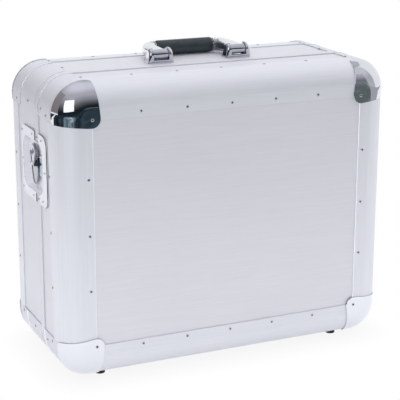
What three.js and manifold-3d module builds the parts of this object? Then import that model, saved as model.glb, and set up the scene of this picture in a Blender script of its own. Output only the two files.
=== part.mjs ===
// A turntable case of boards held in aluminium extrusions, with chrome corner caps, two recessed
// butterfly latches, a folding handle and a lid hinged along the bottom.
// Millimetres, +X to the right, +Y to the rear, +Z up. The origin is on the floor under the middle.
// The lid is the front part of the case and the base is the rear part.
import * as THREE from 'three';
import { mergeVertices } from 'three/addons/utils/BufferGeometryUtils.js';
import Module from 'manifold-3d';

// The case as a whole
const case_width = 530;
const case_height = 437.5;
const case_depth = 237.2;
const lid_depth = 83.8;
const corner_radius = 48;
const foot_height = 6;
const foot_radius = 7.5;
const foot_from_edge = 38;
const foot_spacing_share = 0.7396;
const foot_taper_share = 0.1;

// Sheet, boards and the play between pieces
const sheet = 1.5;
const board = 9;
const board_play = 0.1;
const seam = 0.3;
const overrun = 5;
const weld_distance = 0.0001;

// Edge extrusions: a quarter round with a hollow chamber, flanges outside and lips inside
const edge_radius = 36.3;
const face_flange = 52.4;
const lid_side_flange = 41.5;
const rear_side_flange_share = 0.3553;
const inner_lip = 12;

// Bent corner plates and chrome corner caps
const plate_reach_side = 57;
const plate_reach_top = 51;
const plate_face_flat = 8;
const cap_reach = 61;
const cap_splay = 2.5;
const cap_sheet = 1.2;
const cap_lift = 0.3;
const cap_side_depth = 26;
const cap_inner_radius = 14;

// Closing frame round the base's mouth, with a tongue that enters the lid
const closing_flange = 16.2;
const closing_web = 2;
const closing_lip = 14;
const tongue_reach = 6;
const tongue_clearance = 0.7;

// Foam
const foam_play = 0.6;
const foam_chamfer = 25;
const bay_width_share = 0.8604;
const bay_height_share = 0.8137;
const bay_radius = 14;
const bay_pad = 20;
const foam_below_rim = 3;
const lid_foam_height = 54;
const lid_pad = 18;
const lid_rim_width = 36;

// Latches, placed from the front face and from the middle of the case's height. Places in the lid
// are shares of its flat side, and places in the base are shares of the base's depth
const latch_above_middle_share = 0.189714;
const latch_height = 106;
const latch_front_share = 0.1418;
const latch_rear_share = 0.5293;
const latch_corner = 16;
const latch_proud = 1.2;
const latch_bevel = 0.8;
const mouth_front_share = 0.5792;
const mouth_rear_share = 0.4707;
const mouth_height = 76;
const mouth_corner = 18;
const mouth_draft = 1.2;
const pan_depth = 9;
const pan_sheet = 1.2;
const rotor_share = 0.22295;
const rotor_length = 62;
const rotor_width = 30;
const rotor_sheet = 1.5;
const rotor_top_depth = 3.3;
const axle_radius = 4;
const cam_radius = 9;
const cam_throw = 3.5;
const cam_play = 1;
const hook_sheet = 1.9;
const hook_depth = 7;
const hook_frame = 3.8;
const hook_neck_width = 24;
const hook_tip_share = 0.792;
const hook_lip = 2.2;
const keeper_width = 20;
const keeper_length = 4;
const keeper_height = 1.5;
const rail_width = 2.2;
const rail_height = 3.6;
const wing_length = 30;
const wing_base_width = 13;
const wing_lobe_radius = 12.5;
const wing_sheet = 1.8;
const wing_slot_radius = 4;
const barrel_depth = 1;
const barrel_radius = 2;
const barrel_pin_radius = 0.9;
const ear_width = 2.4;

// Handle, with its places along the depth as shares of the base's depth
const handle_spacing = 127;
const bracket_width = 42;
const bracket_front_share = 0.1708;
const bracket_depth = 20;
const bracket_plate = 2.7;
const cheek_width = 8.6;
const cheek_radius = 10;
const sill_height = 5;
const sill_depth = 5;
const pivot_height = 11;
const hub_radius = 7.5;
const handle_pin_radius = 2.5;
const grip_radius = 11.5;
const grip_share = 0.601;
const grip_height = 10.4;
const grip_length = 93;
const grip_end_radius = 1.5;
const arm_bend_radius = 28;

// Hinges under the bottom edge
const hinge_spacing_share = 0.566;
const hinge_length = 60;
const hinge_knuckles = 5;
const hinge_axis_drop = 3;
const knuckle_radius = 2.6;
const hinge_pin_radius = 1.2;
const hinge_leaf_sheet = 1.2;
const hinge_leaf_reach = 26;
const hinge_leaf_gap = 3.2;

// Steps in each quarter turn of a curve, and in a full turn of a round and of a small round
const arc_steps = 5;
const round_steps = 16;
const small_round_steps = 10;

// Rounds with a radius under this are small ones
const small_round = 3;

const base_depth = case_depth - lid_depth;
const rear_side_flange = rear_side_flange_share * base_depth;
const foot_spacing = foot_spacing_share * case_width;
const hinge_spacing = hinge_spacing_share * case_width;
const bay_width = bay_width_share * case_width;
const bay_height = bay_height_share * case_height;
const latch_above_middle = latch_above_middle_share * case_height;
const lid_flat = lid_depth - lid_side_flange;
const latch_front = lid_side_flange + latch_front_share * lid_flat;
const mouth_front = lid_side_flange + mouth_front_share * lid_flat;
const hook_tip_from_front = lid_side_flange + hook_tip_share * lid_flat;
const latch_rear = lid_depth + latch_rear_share * base_depth;
const mouth_rear = lid_depth + mouth_rear_share * base_depth;
const rotor_from_front = lid_depth + rotor_share * base_depth;
const bracket_front = lid_depth + bracket_front_share * base_depth;
const grip_from_front = lid_depth + grip_share * base_depth;

const half_width = case_width / 2;
const half_height = case_height / 2;
const front_y = -case_depth / 2;
const rear_y = case_depth / 2;
const parting_y = front_y + lid_depth;
const middle_z = foot_height + half_height;
const top_z = foot_height + case_height;
const board_depth = sheet + board_play;
const lip_outer = sheet + board + 2 * board_play;
const lip_inner = lip_outer + sheet;
const foam_inset = lip_inner + tongue_clearance + foam_play;

const wasm = await Module();
wasm.setup();

const finish = {
  skin: new THREE.MeshStandardMaterial({ color: 0xd3d4dc, roughness: 0.45, metalness: 0.7 }),
  extrusion: new THREE.MeshStandardMaterial({ color: 0xd9dade, roughness: 0.35, metalness: 0.8 }),
  chrome: new THREE.MeshStandardMaterial({ color: 0xe6e8ec, roughness: 0.08, metalness: 1 }),
  zinc: new THREE.MeshStandardMaterial({ color: 0xd0d2d8, roughness: 0.25, metalness: 0.9 }),
  grip: new THREE.MeshStandardMaterial({ color: 0x2c353c, roughness: 0.6, metalness: 0 }),
  rubber: new THREE.MeshStandardMaterial({ color: 0x1c1c1e, roughness: 0.8, metalness: 0 }),
  foam: new THREE.MeshStandardMaterial({ color: 0x2a2b2d, roughness: 0.95, metalness: 0 }),
};

const assembly = new THREE.Group();

function addPiece(parent, name, shape, material) {
  const geometry = shape.isBufferGeometry ? shape : fromSolid(shape);
  const mesh = new THREE.Mesh(geometry, material.clone());
  mesh.name = name;
  parent.add(mesh);
  return mesh;
}

// Turns a closed three.js geometry into a solid that can be joined and cut
function toSolid(geometry) {
  const bare = geometry.clone();
  bare.deleteAttribute('normal');
  bare.deleteAttribute('uv');
  const welded = mergeVertices(bare, weld_distance);
  const mesh = new wasm.Mesh({
    numProp: 3,
    vertProperties: new Float32Array(welded.getAttribute('position').array),
    triVerts: new Uint32Array(welded.index.array),
  });
  return new wasm.Manifold(mesh);
}

function fromSolid(solid) {
  const mesh = solid.getMesh();
  const geometry = new THREE.BufferGeometry();
  geometry.setAttribute('position', new THREE.BufferAttribute(new Float32Array(mesh.vertProperties), 3));
  geometry.setIndex(new THREE.BufferAttribute(new Uint32Array(mesh.triVerts), 1));
  geometry.computeVertexNormals();
  return geometry;
}

// An outline pushed along its own normal by a length, centred or starting at its plane
function prism(shape, length, centred = true) {
  const geometry = new THREE.ExtrudeGeometry(shape, {
    depth: length,
    bevelEnabled: false,
    curveSegments: arc_steps,
  });
  if (centred) {
    geometry.translate(0, 0, -length / 2);
  }
  return geometry;
}

// Moves a shape so that its x and y axes lie along two given directions
function placed(geometry, across, up, origin) {
  const out = new THREE.Vector3().crossVectors(across, up);
  const matrix = new THREE.Matrix4().makeBasis(across, up, out).setPosition(origin);
  return geometry.clone().applyMatrix4(matrix);
}

// A box between two opposite corners
function block(low, high) {
  const size = high.map((value, index) => value - low[index]);
  const middle = high.map((value, index) => (value + low[index]) / 2);
  return new THREE.BoxGeometry(...size).translate(...middle);
}

// A round bar along the x axis between two places on it
function barAlongX(radius, from, to, y, z) {
  const steps = radius < small_round ? small_round_steps : round_steps;
  const bar = new THREE.CylinderGeometry(radius, radius, to - from, steps);
  return bar.rotateZ(Math.PI / 2).translate((from + to) / 2, y, z);
}

function roundedOutline(width, height, radius) {
  const corners = [[1, 1, 0], [-1, 1, 1], [-1, -1, 2], [1, -1, 3]];
  const points = [];
  for (const [sign_x, sign_y, quarter] of corners) {
    for (let step = 0; step <= arc_steps; step += 1) {
      const angle = (quarter + step / arc_steps) * Math.PI / 2;
      points.push(new THREE.Vector2(
        sign_x * (width / 2 - radius) + radius * Math.cos(angle),
        sign_y * (height / 2 - radius) + radius * Math.sin(angle),
      ));
    }
  }
  return points;
}

// A closed surface through rows of points, with both end rows filled, or joined end to end
function skinned(rows, end_outlines) {
  const count = rows[0].length;
  const positions = rows.flat().flatMap((point) => [point.x, point.y, point.z]);
  const triangles = [];
  const spans = end_outlines ? rows.length - 1 : rows.length;
  for (let row = 0; row < spans; row += 1) {
    const here = row * count;
    const next = ((row + 1) % rows.length) * count;
    for (let i = 0; i < count; i += 1) {
      const j = (i + 1) % count;
      triangles.push(here + i, here + j, next + j, here + i, next + j, next + i);
    }
  }
  if (end_outlines) {
    const last = (rows.length - 1) * count;
    const fill = end_outlines.map((outline) => THREE.ShapeUtils.triangulateShape(outline, []));
    const turned = end_outlines.map((outline) => THREE.ShapeUtils.isClockWise(outline));
    for (const [a, b, c] of fill[0]) {
      triangles.push(...(turned[0] ? [a, b, c] : [a, c, b]));
    }
    for (const [a, b, c] of fill[1]) {
      triangles.push(...(turned[1] ? [last + a, last + c, last + b] : [last + a, last + b, last + c]));
    }
  }
  return outward(positions, triangles);
}

// Makes the geometry with its faces pointing out, whichever way the rows ran
function outward(positions, triangles) {
  const corner = (index) => new THREE.Vector3().fromArray(positions, 3 * index);
  let volume = 0;
  for (let i = 0; i < triangles.length; i += 3) {
    const [a, b, c] = [0, 1, 2].map((k) => corner(triangles[i + k]));
    volume += a.dot(b.cross(c));
  }
  const index = volume > 0 ? triangles : triangles.slice().reverse();
  const geometry = new THREE.BufferGeometry();
  geometry.setAttribute('position', new THREE.Float32BufferAttribute(positions, 3));
  geometry.setIndex(index);
  geometry.computeVertexNormals();
  return geometry;
}

// A solid through rounded rectangles stacked along a depth: each ring has a width, height, radius,
// depth and, where it isn't centred, a shift along its width
function stacked(rings, toPoint) {
  const outlines = rings.map((ring) => roundedOutline(ring.width, ring.height, ring.radius));
  const rows = rings.map((ring, k) => outlines[k].map((p) => toPoint(p.x + (ring.shift ?? 0), p.y, ring.depth)));
  return skinned(rows, [outlines[0], outlines[outlines.length - 1]]);
}

// The four straight sides of the case and its two faces
const sides = [
  { name: 'top', inward: new THREE.Vector3(0, 0, -1), middle: new THREE.Vector3(0, 0, top_z) },
  { name: 'bottom', inward: new THREE.Vector3(0, 0, 1), middle: new THREE.Vector3(0, 0, foot_height) },
  { name: 'left', inward: new THREE.Vector3(1, 0, 0), middle: new THREE.Vector3(-half_width, 0, middle_z) },
  { name: 'right', inward: new THREE.Vector3(-1, 0, 0), middle: new THREE.Vector3(half_width, 0, middle_z) },
];
const corners = [
  { name: 'top_left', sign_x: -1, sign_z: 1 },
  { name: 'top_right', sign_x: 1, sign_z: 1 },
  { name: 'bottom_left', sign_x: -1, sign_z: -1 },
  { name: 'bottom_right', sign_x: 1, sign_z: -1 },
];
const lid_shell = { face_y: front_y, into: 1, side_flange: lid_side_flange };
const base_shell = { face_y: rear_y, into: -1, side_flange: rear_side_flange };

function isLevel(side) {
  return side.inward.x === 0;
}

// Section of an edge extrusion: u runs in from the case's side, v in from its face
function edgeSection(side_flange) {
  const r = edge_radius;
  const half_turn = Math.PI;
  const down = 1.5 * Math.PI;
  const section = new THREE.Shape();
  section.moveTo(0, side_flange);
  section.lineTo(0, r);
  section.absarc(r, r, r, half_turn, down, false);
  section.lineTo(face_flange, 0);
  section.lineTo(face_flange, sheet);
  section.lineTo(r, sheet);
  section.lineTo(r, lip_outer);
  section.lineTo(r + inner_lip, lip_outer);
  section.lineTo(r + inner_lip, lip_inner);
  section.lineTo(r, lip_inner);
  section.absarc(r, r, r - lip_inner, down, half_turn, true);
  section.lineTo(lip_inner, r + inner_lip);
  section.lineTo(lip_outer, r + inner_lip);
  section.lineTo(lip_outer, r);
  section.lineTo(sheet, r);
  section.lineTo(sheet, side_flange);
  section.closePath();
  const end_angle = sheet / (r - lip_outer);
  const chamber = new THREE.Path();
  chamber.absarc(r, r, r - sheet, half_turn + end_angle, down - end_angle, false);
  chamber.absarc(r, r, r - lip_outer, down - end_angle, half_turn + end_angle, true);
  chamber.closePath();
  section.holes.push(chamber);
  return section;
}

function edgeExtrusion(side, shell) {
  const span = isLevel(side) ? case_width - 2 * plate_reach_top : case_height - 2 * plate_reach_side;
  const into = new THREE.Vector3(0, shell.into, 0);
  const origin = side.middle.clone().setY(shell.face_y);
  return placed(prism(edgeSection(shell.side_flange), span - 2 * seam), side.inward, into, origin);
}

// Carries a section round one corner of the case: out along one leg, round, and along the other
function roundCorner(section, corner, shell, leg_side, leg_top) {
  const across = new THREE.Vector3(corner.sign_x, 0, 0);
  const up = new THREE.Vector3(0, 0, corner.sign_z);
  const centre = new THREE.Vector3(0, 0, middle_z);
  centre.addScaledVector(across, half_width - corner_radius);
  centre.addScaledVector(up, half_height - corner_radius);
  const stations = [{ angle: 0, shift: up.clone().multiplyScalar(-leg_side) }];
  for (let step = 0; step <= arc_steps; step += 1) {
    stations.push({ angle: (step / arc_steps) * Math.PI / 2, shift: new THREE.Vector3() });
  }
  stations.push({ angle: Math.PI / 2, shift: across.clone().multiplyScalar(-leg_top) });
  const rows = stations.map(({ angle, shift }) => section.map((point) => {
    const place = centre.clone().add(shift);
    place.addScaledVector(across, (corner_radius - point.x) * Math.cos(angle));
    place.addScaledVector(up, (corner_radius - point.x) * Math.sin(angle));
    return place.setY(shell.face_y + shell.into * point.y);
  }));
  return skinned(rows, [section, section]);
}

function arcPoints(radius, from_angle, to_angle) {
  const points = [];
  for (let step = 0; step <= arc_steps; step += 1) {
    const angle = from_angle + (to_angle - from_angle) * step / arc_steps;
    points.push(new THREE.Vector2(
      edge_radius - radius * Math.cos(angle),
      edge_radius - radius * Math.sin(angle),
    ));
  }
  return points;
}

// The bent plate between the chrome cap and the mouth of its shell
function cornerPlate(corner, shell, plate_end) {
  const flat_end = edge_radius + plate_face_flat;
  const section = [
    new THREE.Vector2(0, plate_end),
    ...arcPoints(edge_radius, 0, Math.PI / 2),
    new THREE.Vector2(flat_end, 0),
    new THREE.Vector2(flat_end, sheet),
    ...arcPoints(edge_radius - sheet, Math.PI / 2, 0),
    new THREE.Vector2(sheet, plate_end),
  ];
  const leg_side = plate_reach_side - corner_radius;
  return roundCorner(section, corner, shell, leg_side, plate_reach_top - corner_radius);
}

// The face plate of a chrome cap, in distances in from the case's side and from its top or bottom.
// Both ends splay outwards towards the cap's inner corner
function capFaceOutline() {
  const edge = edge_radius + cap_lift;
  const bend = corner_radius - edge;
  const outline = new THREE.Shape();
  outline.moveTo(edge, cap_reach);
  outline.lineTo(edge, corner_radius);
  outline.absarc(corner_radius, corner_radius, bend, Math.PI, 1.5 * Math.PI, false);
  outline.lineTo(cap_reach, edge);
  const turn = cap_reach + cap_splay - cap_inner_radius;
  outline.absarc(turn, turn, cap_inner_radius, 0, Math.PI / 2, false);
  outline.closePath();
  return outline;
}

function cornerCap(corner, shell) {
  const inner = edge_radius + cap_lift;
  const outer = inner + cap_sheet;
  const flat_end = edge_radius + plate_face_flat;
  const from_angle = Math.asin((edge_radius - cap_side_depth) / inner);
  const section = [
    ...arcPoints(outer, from_angle, Math.PI / 2),
    new THREE.Vector2(flat_end, edge_radius - outer),
    new THREE.Vector2(flat_end, edge_radius - inner),
    ...arcPoints(inner, Math.PI / 2, from_angle),
  ];
  const leg = cap_reach - corner_radius;
  const rim = toSolid(roundCorner(section, corner, shell, leg, leg));
  const across = new THREE.Vector3(-corner.sign_x, 0, 0);
  const up = new THREE.Vector3(0, 0, -corner.sign_z);
  const out = new THREE.Vector3().crossVectors(across, up);
  const depth = out.y * shell.into > 0 ? -cap_lift - cap_sheet : cap_lift;
  const origin = new THREE.Vector3(corner.sign_x * half_width, shell.face_y, middle_z + corner.sign_z * half_height);
  const face = prism(capFaceOutline(), cap_sheet, false).translate(0, 0, depth);
  return rim.add(toSolid(placed(face, across, up, origin)));
}

// A board let into the slots of the extrusions at one of the case's faces
function facePanel(shell) {
  const inset = edge_radius + board_play;
  const radius = corner_radius - inset;
  const shape = new THREE.Shape(roundedOutline(case_width - 2 * inset, case_height - 2 * inset, radius));
  const across = new THREE.Vector3(1, 0, 0);
  const up = new THREE.Vector3(0, 0, 1);
  const origin = new THREE.Vector3(0, shell.face_y + shell.into * (board_depth + board / 2), middle_z);
  return placed(prism(shape, board), across, up, origin);
}

// A board of one side, between two distances in from its shell's face
function sideBoard(side, shell, from, to) {
  const length = (isLevel(side) ? case_width : case_height) - 2 * (corner_radius + seam);
  const section = new THREE.Shape([
    new THREE.Vector2(board_depth, from),
    new THREE.Vector2(board_depth + board, from),
    new THREE.Vector2(board_depth + board, to),
    new THREE.Vector2(board_depth, to),
  ]);
  const into = new THREE.Vector3(0, shell.into, 0);
  return placed(prism(section, length), side.inward, into, side.middle.clone().setY(shell.face_y));
}

// The closing extrusion round the base's mouth: v runs back from the parting plane
function closingFrame() {
  const tongue_outer = lip_outer + tongue_clearance;
  const tongue_inner = lip_inner + tongue_clearance;
  const section = [
    [0, 0], [0, closing_flange], [sheet, closing_flange], [sheet, closing_web],
    [lip_outer, closing_web], [lip_outer, closing_lip], [lip_inner, closing_lip],
    [lip_inner, closing_web], [tongue_inner, closing_web], [tongue_inner, -tongue_reach],
    [tongue_outer, -tongue_reach], [tongue_outer, 0],
  ];
  const loops = section.map(([inset, back]) => {
    const outline = roundedOutline(case_width - 2 * inset, case_height - 2 * inset, corner_radius - inset);
    return outline.map((p) => new THREE.Vector3(p.x, parting_y + back, middle_z + p.y));
  });
  return skinned(loops, null);
}

// Foam cut to the boards, chamfered to clear the extrusions, with a rounded recess in its open side
function foamBlock(shell, top, recess_width, recess_height, recess_floor) {
  const seat = lip_inner + seam;
  const lower = foam_inset + foam_chamfer;
  const inset = (value) => ({
    width: case_width - 2 * value,
    height: case_height - 2 * value,
    radius: corner_radius - value,
  });
  const low_outline = { ...inset(lower), radius: bay_radius };
  const recess = { width: recess_width, height: recess_height, radius: bay_radius };
  const rings = [
    { ...low_outline, depth: seat },
    { ...inset(foam_inset), depth: seat + foam_chamfer },
    { ...inset(foam_inset), depth: top },
    { ...recess, depth: top },
    { ...recess, depth: recess_floor },
  ];
  return stacked(rings, (x, z, depth) => new THREE.Vector3(x, shell.face_y + shell.into * depth, middle_z + z));
}

function foot() {
  const half_taper = foot_radius * foot_taper_share / 2;
  const profile = [
    new THREE.Vector2(0, 0),
    new THREE.Vector2(foot_radius - half_taper, 0),
    new THREE.Vector2(foot_radius, half_taper),
    new THREE.Vector2(foot_radius, foot_height - seam),
    new THREE.Vector2(0, foot_height - seam),
  ];
  return new THREE.LatheGeometry(profile, round_steps).rotateX(Math.PI / 2);
}

// Latch, in its own frame: x towards the lid's front, y along the case's height and z out of the
// case's side, with the origin on the side's outer plane, level with the rotor
function fromFront(distance) {
  return rotor_from_front - distance;
}

function mouthRing(grow, depth) {
  return {
    width: mouth_rear - mouth_front + 2 * grow,
    height: mouth_height + 2 * grow,
    radius: mouth_corner + grow,
    shift: fromFront((mouth_rear + mouth_front) / 2),
    depth,
  };
}

function plateRing(grow, depth) {
  return {
    width: latch_rear - latch_front + 2 * grow,
    height: latch_height + 2 * grow,
    radius: latch_corner + grow,
    shift: fromFront((latch_rear + latch_front) / 2),
    depth,
  };
}

const inLatch = (x, y, depth) => new THREE.Vector3(x, y, depth);

// The space that a latch's pan and a gap round it take out of the boards and frame
function latchCutter() {
  const grow = pan_sheet + seam;
  return toSolid(stacked([mouthRing(grow, -pan_depth - grow), mouthRing(grow, overrun)], inLatch));
}

// Both halves of the pressed dish as one pan, before it is parted
function latchPan() {
  const under = seam - board_depth;
  return toSolid(stacked([
    mouthRing(pan_sheet - mouth_draft, -pan_depth - pan_sheet),
    mouthRing(pan_sheet, under),
    plateRing(0, under),
    plateRing(0, latch_proud - latch_bevel),
    plateRing(-latch_bevel, latch_proud),
    mouthRing(0, latch_proud),
    mouthRing(-mouth_draft, -pan_depth),
  ], inLatch));
}

function latchHalfSpace(from, to) {
  const reach = latch_height;
  return toSolid(block([fromFront(to), -reach, -reach], [fromFront(from), reach, reach]));
}

function latchDish() {
  const back = latchPan().intersect(latchHalfSpace(lid_depth + seam, latch_rear + overrun));
  const beside_flange = toSolid(block(
    [fromFront(lid_depth + closing_flange + seam), -latch_height, seam - board_depth - overrun],
    [fromFront(lid_depth - overrun), latch_height, overrun],
  ));
  const wall = toSolid(stacked([
    mouthRing(pan_sheet, -pan_depth - overrun),
    mouthRing(pan_sheet, 2 * overrun),
  ], inLatch));
  let dish = back.subtract(beside_flange.subtract(wall));
  // The rails guide the hook's neck and end clear of its frame when the hook is out
  const rail_start = cam_throw + hookFrameHalfLength() + seam;
  for (const side of [-1, 1]) {
    const middle = side * (hook_neck_width / 2 + seam + rail_width / 2);
    const rail = block(
      [rail_start, middle - rail_width / 2, -pan_depth - pan_sheet / 2],
      [fromFront(lid_depth + seam), middle + rail_width / 2, -pan_depth + rail_height],
    );
    dish = dish.add(toSolid(rail));
  }
  return dish;
}

function latchKeeper() {
  const half = latchPan().intersect(latchHalfSpace(latch_front - overrun, lid_depth - seam));
  const start = hook_tip_from_front + keeper_length / 2;
  const lug = block(
    [fromFront(start + keeper_length), -keeper_width / 2, -pan_depth - pan_sheet / 2],
    [fromFront(start), keeper_width / 2, -pan_depth + keeper_height],
  );
  return half.add(toSolid(lug));
}

function hookFrameHalfLength() {
  return cam_radius + cam_play + hook_frame;
}

// The sliding hook: a frame round the rotor's cam, a neck over the parting line and a raised lip
function latchHook() {
  const frame_half = hookFrameHalfLength();
  const slot_half = cam_radius + cam_throw + seam;
  const middle = -cam_throw;
  const outline = new THREE.Shape(roundedOutline(2 * frame_half, 2 * (slot_half + hook_frame), hook_frame));
  const window_outline = roundedOutline(2 * (cam_radius + cam_play), 2 * slot_half, cam_radius / 2);
  outline.holes.push(new THREE.Path(window_outline));
  const frame = toSolid(prism(outline, hook_sheet, false).translate(middle, 0, -hook_depth));
  const tip = fromFront(hook_tip_from_front);
  const neck_start = middle + frame_half - hook_frame / 2;
  const neck = toSolid(block(
    [neck_start, -hook_neck_width / 2, -hook_depth],
    [tip, hook_neck_width / 2, hook_sheet - hook_depth],
  ));
  const lip = toSolid(block(
    [tip - hook_sheet, -hook_neck_width / 2, -hook_depth],
    [tip, hook_neck_width / 2, hook_sheet + hook_lip - hook_depth],
  ));
  return frame.add(neck).add(lip);
}

function roundBar(radius, from, to) {
  const bar = new THREE.CylinderGeometry(radius, radius, to - from, round_steps);
  return toSolid(bar.rotateX(Math.PI / 2).translate(0, 0, (from + to) / 2));
}

// The rotor: an oval plate with ears and a pin for the wing, over a cam on a short axle
function latchRotor() {
  const plate_top = -rotor_top_depth;
  const plate_low = plate_top - rotor_sheet;
  const oval = new THREE.Shape();
  oval.absellipse(0, 0, rotor_width / 2, rotor_length / 2, 0, 2 * Math.PI);
  const plate_shape = new THREE.ExtrudeGeometry(oval, {
    depth: rotor_sheet,
    bevelEnabled: false,
    curveSegments: round_steps,
  });
  let rotor = toSolid(plate_shape.translate(0, 0, plate_low));
  const cam = roundBar(cam_radius, -hook_depth, plate_low + rotor_sheet / 2).translate([-cam_throw, 0, 0]);
  const axle = roundBar(axle_radius, seam - pan_depth, plate_low + rotor_sheet / 2);
  rotor = rotor.add(cam).add(axle);
  const ear_start = wing_base_width / 2 + seam;
  for (const side of [-1, 1]) {
    const ends = [side * ear_start, side * (ear_start + ear_width)].sort((a, b) => a - b);
    const ear = barAlongX(barrel_radius, ends[0], ends[1], 0, -barrel_depth);
    const post = block(
      [ends[0], -barrel_radius, plate_top - rotor_sheet / 2],
      [ends[1], barrel_radius, -barrel_depth],
    );
    rotor = rotor.add(toSolid(ear)).add(toSolid(post));
  }
  const pin_end = ear_start + ear_width / 2;
  return rotor.add(toSolid(barAlongX(barrel_pin_radius, -pin_end, pin_end, 0, -barrel_depth)));
}

// The butterfly wing that folds flat on the rotor; towards is the way it points when folded
function latchWing(towards) {
  const lobe_centre = wing_length - wing_lobe_radius;
  const half_base = wing_base_width / 2;
  const outline = new THREE.Shape();
  outline.moveTo(-half_base, 0);
  outline.lineTo(half_base, 0);
  outline.quadraticCurveTo(half_base, lobe_centre / 2, wing_lobe_radius, lobe_centre);
  outline.absarc(0, lobe_centre, wing_lobe_radius, 0, Math.PI, false);
  outline.quadraticCurveTo(-half_base, lobe_centre / 2, -half_base, 0);
  const hole = new THREE.Path();
  hole.absarc(0, lobe_centre, wing_slot_radius, 0, 2 * Math.PI, true);
  outline.holes.push(hole);
  const flat = prism(outline, wing_sheet).translate(0, 0, -barrel_depth);
  const turned = towards > 0 ? flat : flat.rotateZ(Math.PI);
  const barrel = toSolid(barAlongX(barrel_radius, -half_base, half_base, 0, -barrel_depth));
  const reach = half_base + overrun;
  const bore = toSolid(barAlongX(barrel_pin_radius + seam, -reach, reach, 0, -barrel_depth));
  return toSolid(turned).add(barrel).subtract(bore);
}

// Puts a shape made in the latch's frame on the left or right side of the case
function onSide(sign, solid) {
  const geometry = fromSolid(solid);
  const across = new THREE.Vector3(0, -1, 0);
  const up = new THREE.Vector3(0, 0, -sign);
  const origin = new THREE.Vector3(sign * half_width, front_y + rotor_from_front, middle_z + latch_above_middle);
  return placed(geometry, across, up, origin);
}

// Handle, made for the right-hand end; its mirror image is the left-hand end
function mirrored(geometry) {
  const flipped = geometry.clone().scale(-1, 1, 1);
  const index = Array.from(flipped.index.array).reverse();
  flipped.setIndex(index);
  flipped.computeVertexNormals();
  return flipped;
}

const bracket_middle = handle_spacing / 2;
const bracket_y = front_y + bracket_front;
const pivot_y = bracket_y + cheek_radius;
const pivot_z = top_z + pivot_height;
const grip_y = front_y + grip_from_front;
const grip_z = top_z + grip_height;

// Pushes an outline drawn in y and z along x between two places
function alongX(outline, from, to) {
  const across = new THREE.Vector3(0, 1, 0);
  const up = new THREE.Vector3(0, 0, 1);
  return toSolid(placed(prism(outline, to - from, false), across, up, new THREE.Vector3(from, 0, 0)));
}

function cheekOutline() {
  const foot_z = top_z - board_depth + board_play;
  const back_y = bracket_y + bracket_depth;
  const back_top = foot_z + bracket_plate;
  const cheek = new THREE.Shape();
  cheek.moveTo(bracket_y, foot_z);
  cheek.lineTo(back_y, foot_z);
  cheek.lineTo(back_y, back_top);
  cheek.absarc(pivot_y, pivot_z, cheek_radius, Math.PI / 4, Math.PI, false);
  cheek.closePath();
  return cheek;
}

function handleBracket() {
  const inner = bracket_middle - bracket_width / 2;
  const outer = bracket_middle + bracket_width / 2;
  const foot_z = top_z - board_depth + board_play;
  const plate = block([inner, bracket_y, foot_z], [outer, bracket_y + bracket_depth, foot_z + bracket_plate]);
  const sill = block([inner, bracket_y, foot_z], [outer, bracket_y + sill_depth, foot_z + sill_height]);
  const pin_room = cheek_width / 2;
  const pin = barAlongX(handle_pin_radius, inner + pin_room, outer - pin_room, pivot_y, pivot_z);
  const bracket = toSolid(plate)
    .add(alongX(cheekOutline(), inner, inner + cheek_width))
    .add(alongX(cheekOutline(), outer - cheek_width, outer))
    .add(toSolid(pin));
  const sill_room = toSolid(barAlongX(hub_radius + seam, inner + cheek_width, outer - cheek_width, pivot_y, pivot_z));
  return bracket.add(toSolid(sill).subtract(sill_room));
}

// The arm's side view: a rounded bar that widens from the pivot to the grip
function armSideOutline() {
  const run = Math.hypot(grip_y - pivot_y, grip_z - pivot_z);
  const lean = Math.atan2(grip_z - pivot_z, grip_y - pivot_y);
  const spread = Math.acos((hub_radius - grip_radius) / run);
  const outline = new THREE.Shape();
  outline.absarc(grip_y, grip_z, grip_radius, lean - spread, lean + spread, false);
  outline.absarc(pivot_y, pivot_z, hub_radius, lean + spread, lean - spread + 2 * Math.PI, false);
  outline.closePath();
  return outline;
}

// The arm's plan: straight back from the bracket, then round to the grip's end
function armPlanOutline() {
  const inner = bracket_middle - bracket_width / 2 + cheek_width + seam;
  const outer = bracket_middle + bracket_width / 2 - cheek_width - seam;
  const front = pivot_y - hub_radius - overrun;
  const back = grip_y + grip_radius + overrun;
  const bend_y = grip_y + grip_radius - arm_bend_radius;
  const neck_end = grip_length / 2 + seam;
  const neck_y = grip_y - grip_radius - overrun;
  const plan = new THREE.Shape();
  plan.moveTo(inner, front);
  plan.lineTo(outer, front);
  plan.lineTo(outer, bend_y);
  plan.absarc(outer - arm_bend_radius, bend_y, arm_bend_radius, 0, Math.PI / 2, false);
  plan.lineTo(neck_end, bend_y + arm_bend_radius);
  plan.lineTo(neck_end, back);
  plan.lineTo(neck_end - seam, back);
  plan.lineTo(neck_end - seam, neck_y);
  plan.lineTo(inner, neck_y - (inner - neck_end));
  plan.closePath();
  return plan;
}

function handleArm() {
  const from = grip_length / 2;
  const side_view = alongX(armSideOutline(), from + seam, bracket_middle + bracket_width / 2);
  const plan_depth = 2 * (grip_radius + overrun);
  const plan = placed(
    prism(armPlanOutline(), plan_depth),
    new THREE.Vector3(1, 0, 0),
    new THREE.Vector3(0, 1, 0),
    new THREE.Vector3(0, 0, (pivot_z + grip_z) / 2),
  );
  const bore_end = bracket_middle + bracket_width;
  const bore = toSolid(barAlongX(handle_pin_radius + seam, from, bore_end, pivot_y, pivot_z));
  return side_view.intersect(toSolid(plan)).subtract(bore);
}

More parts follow.
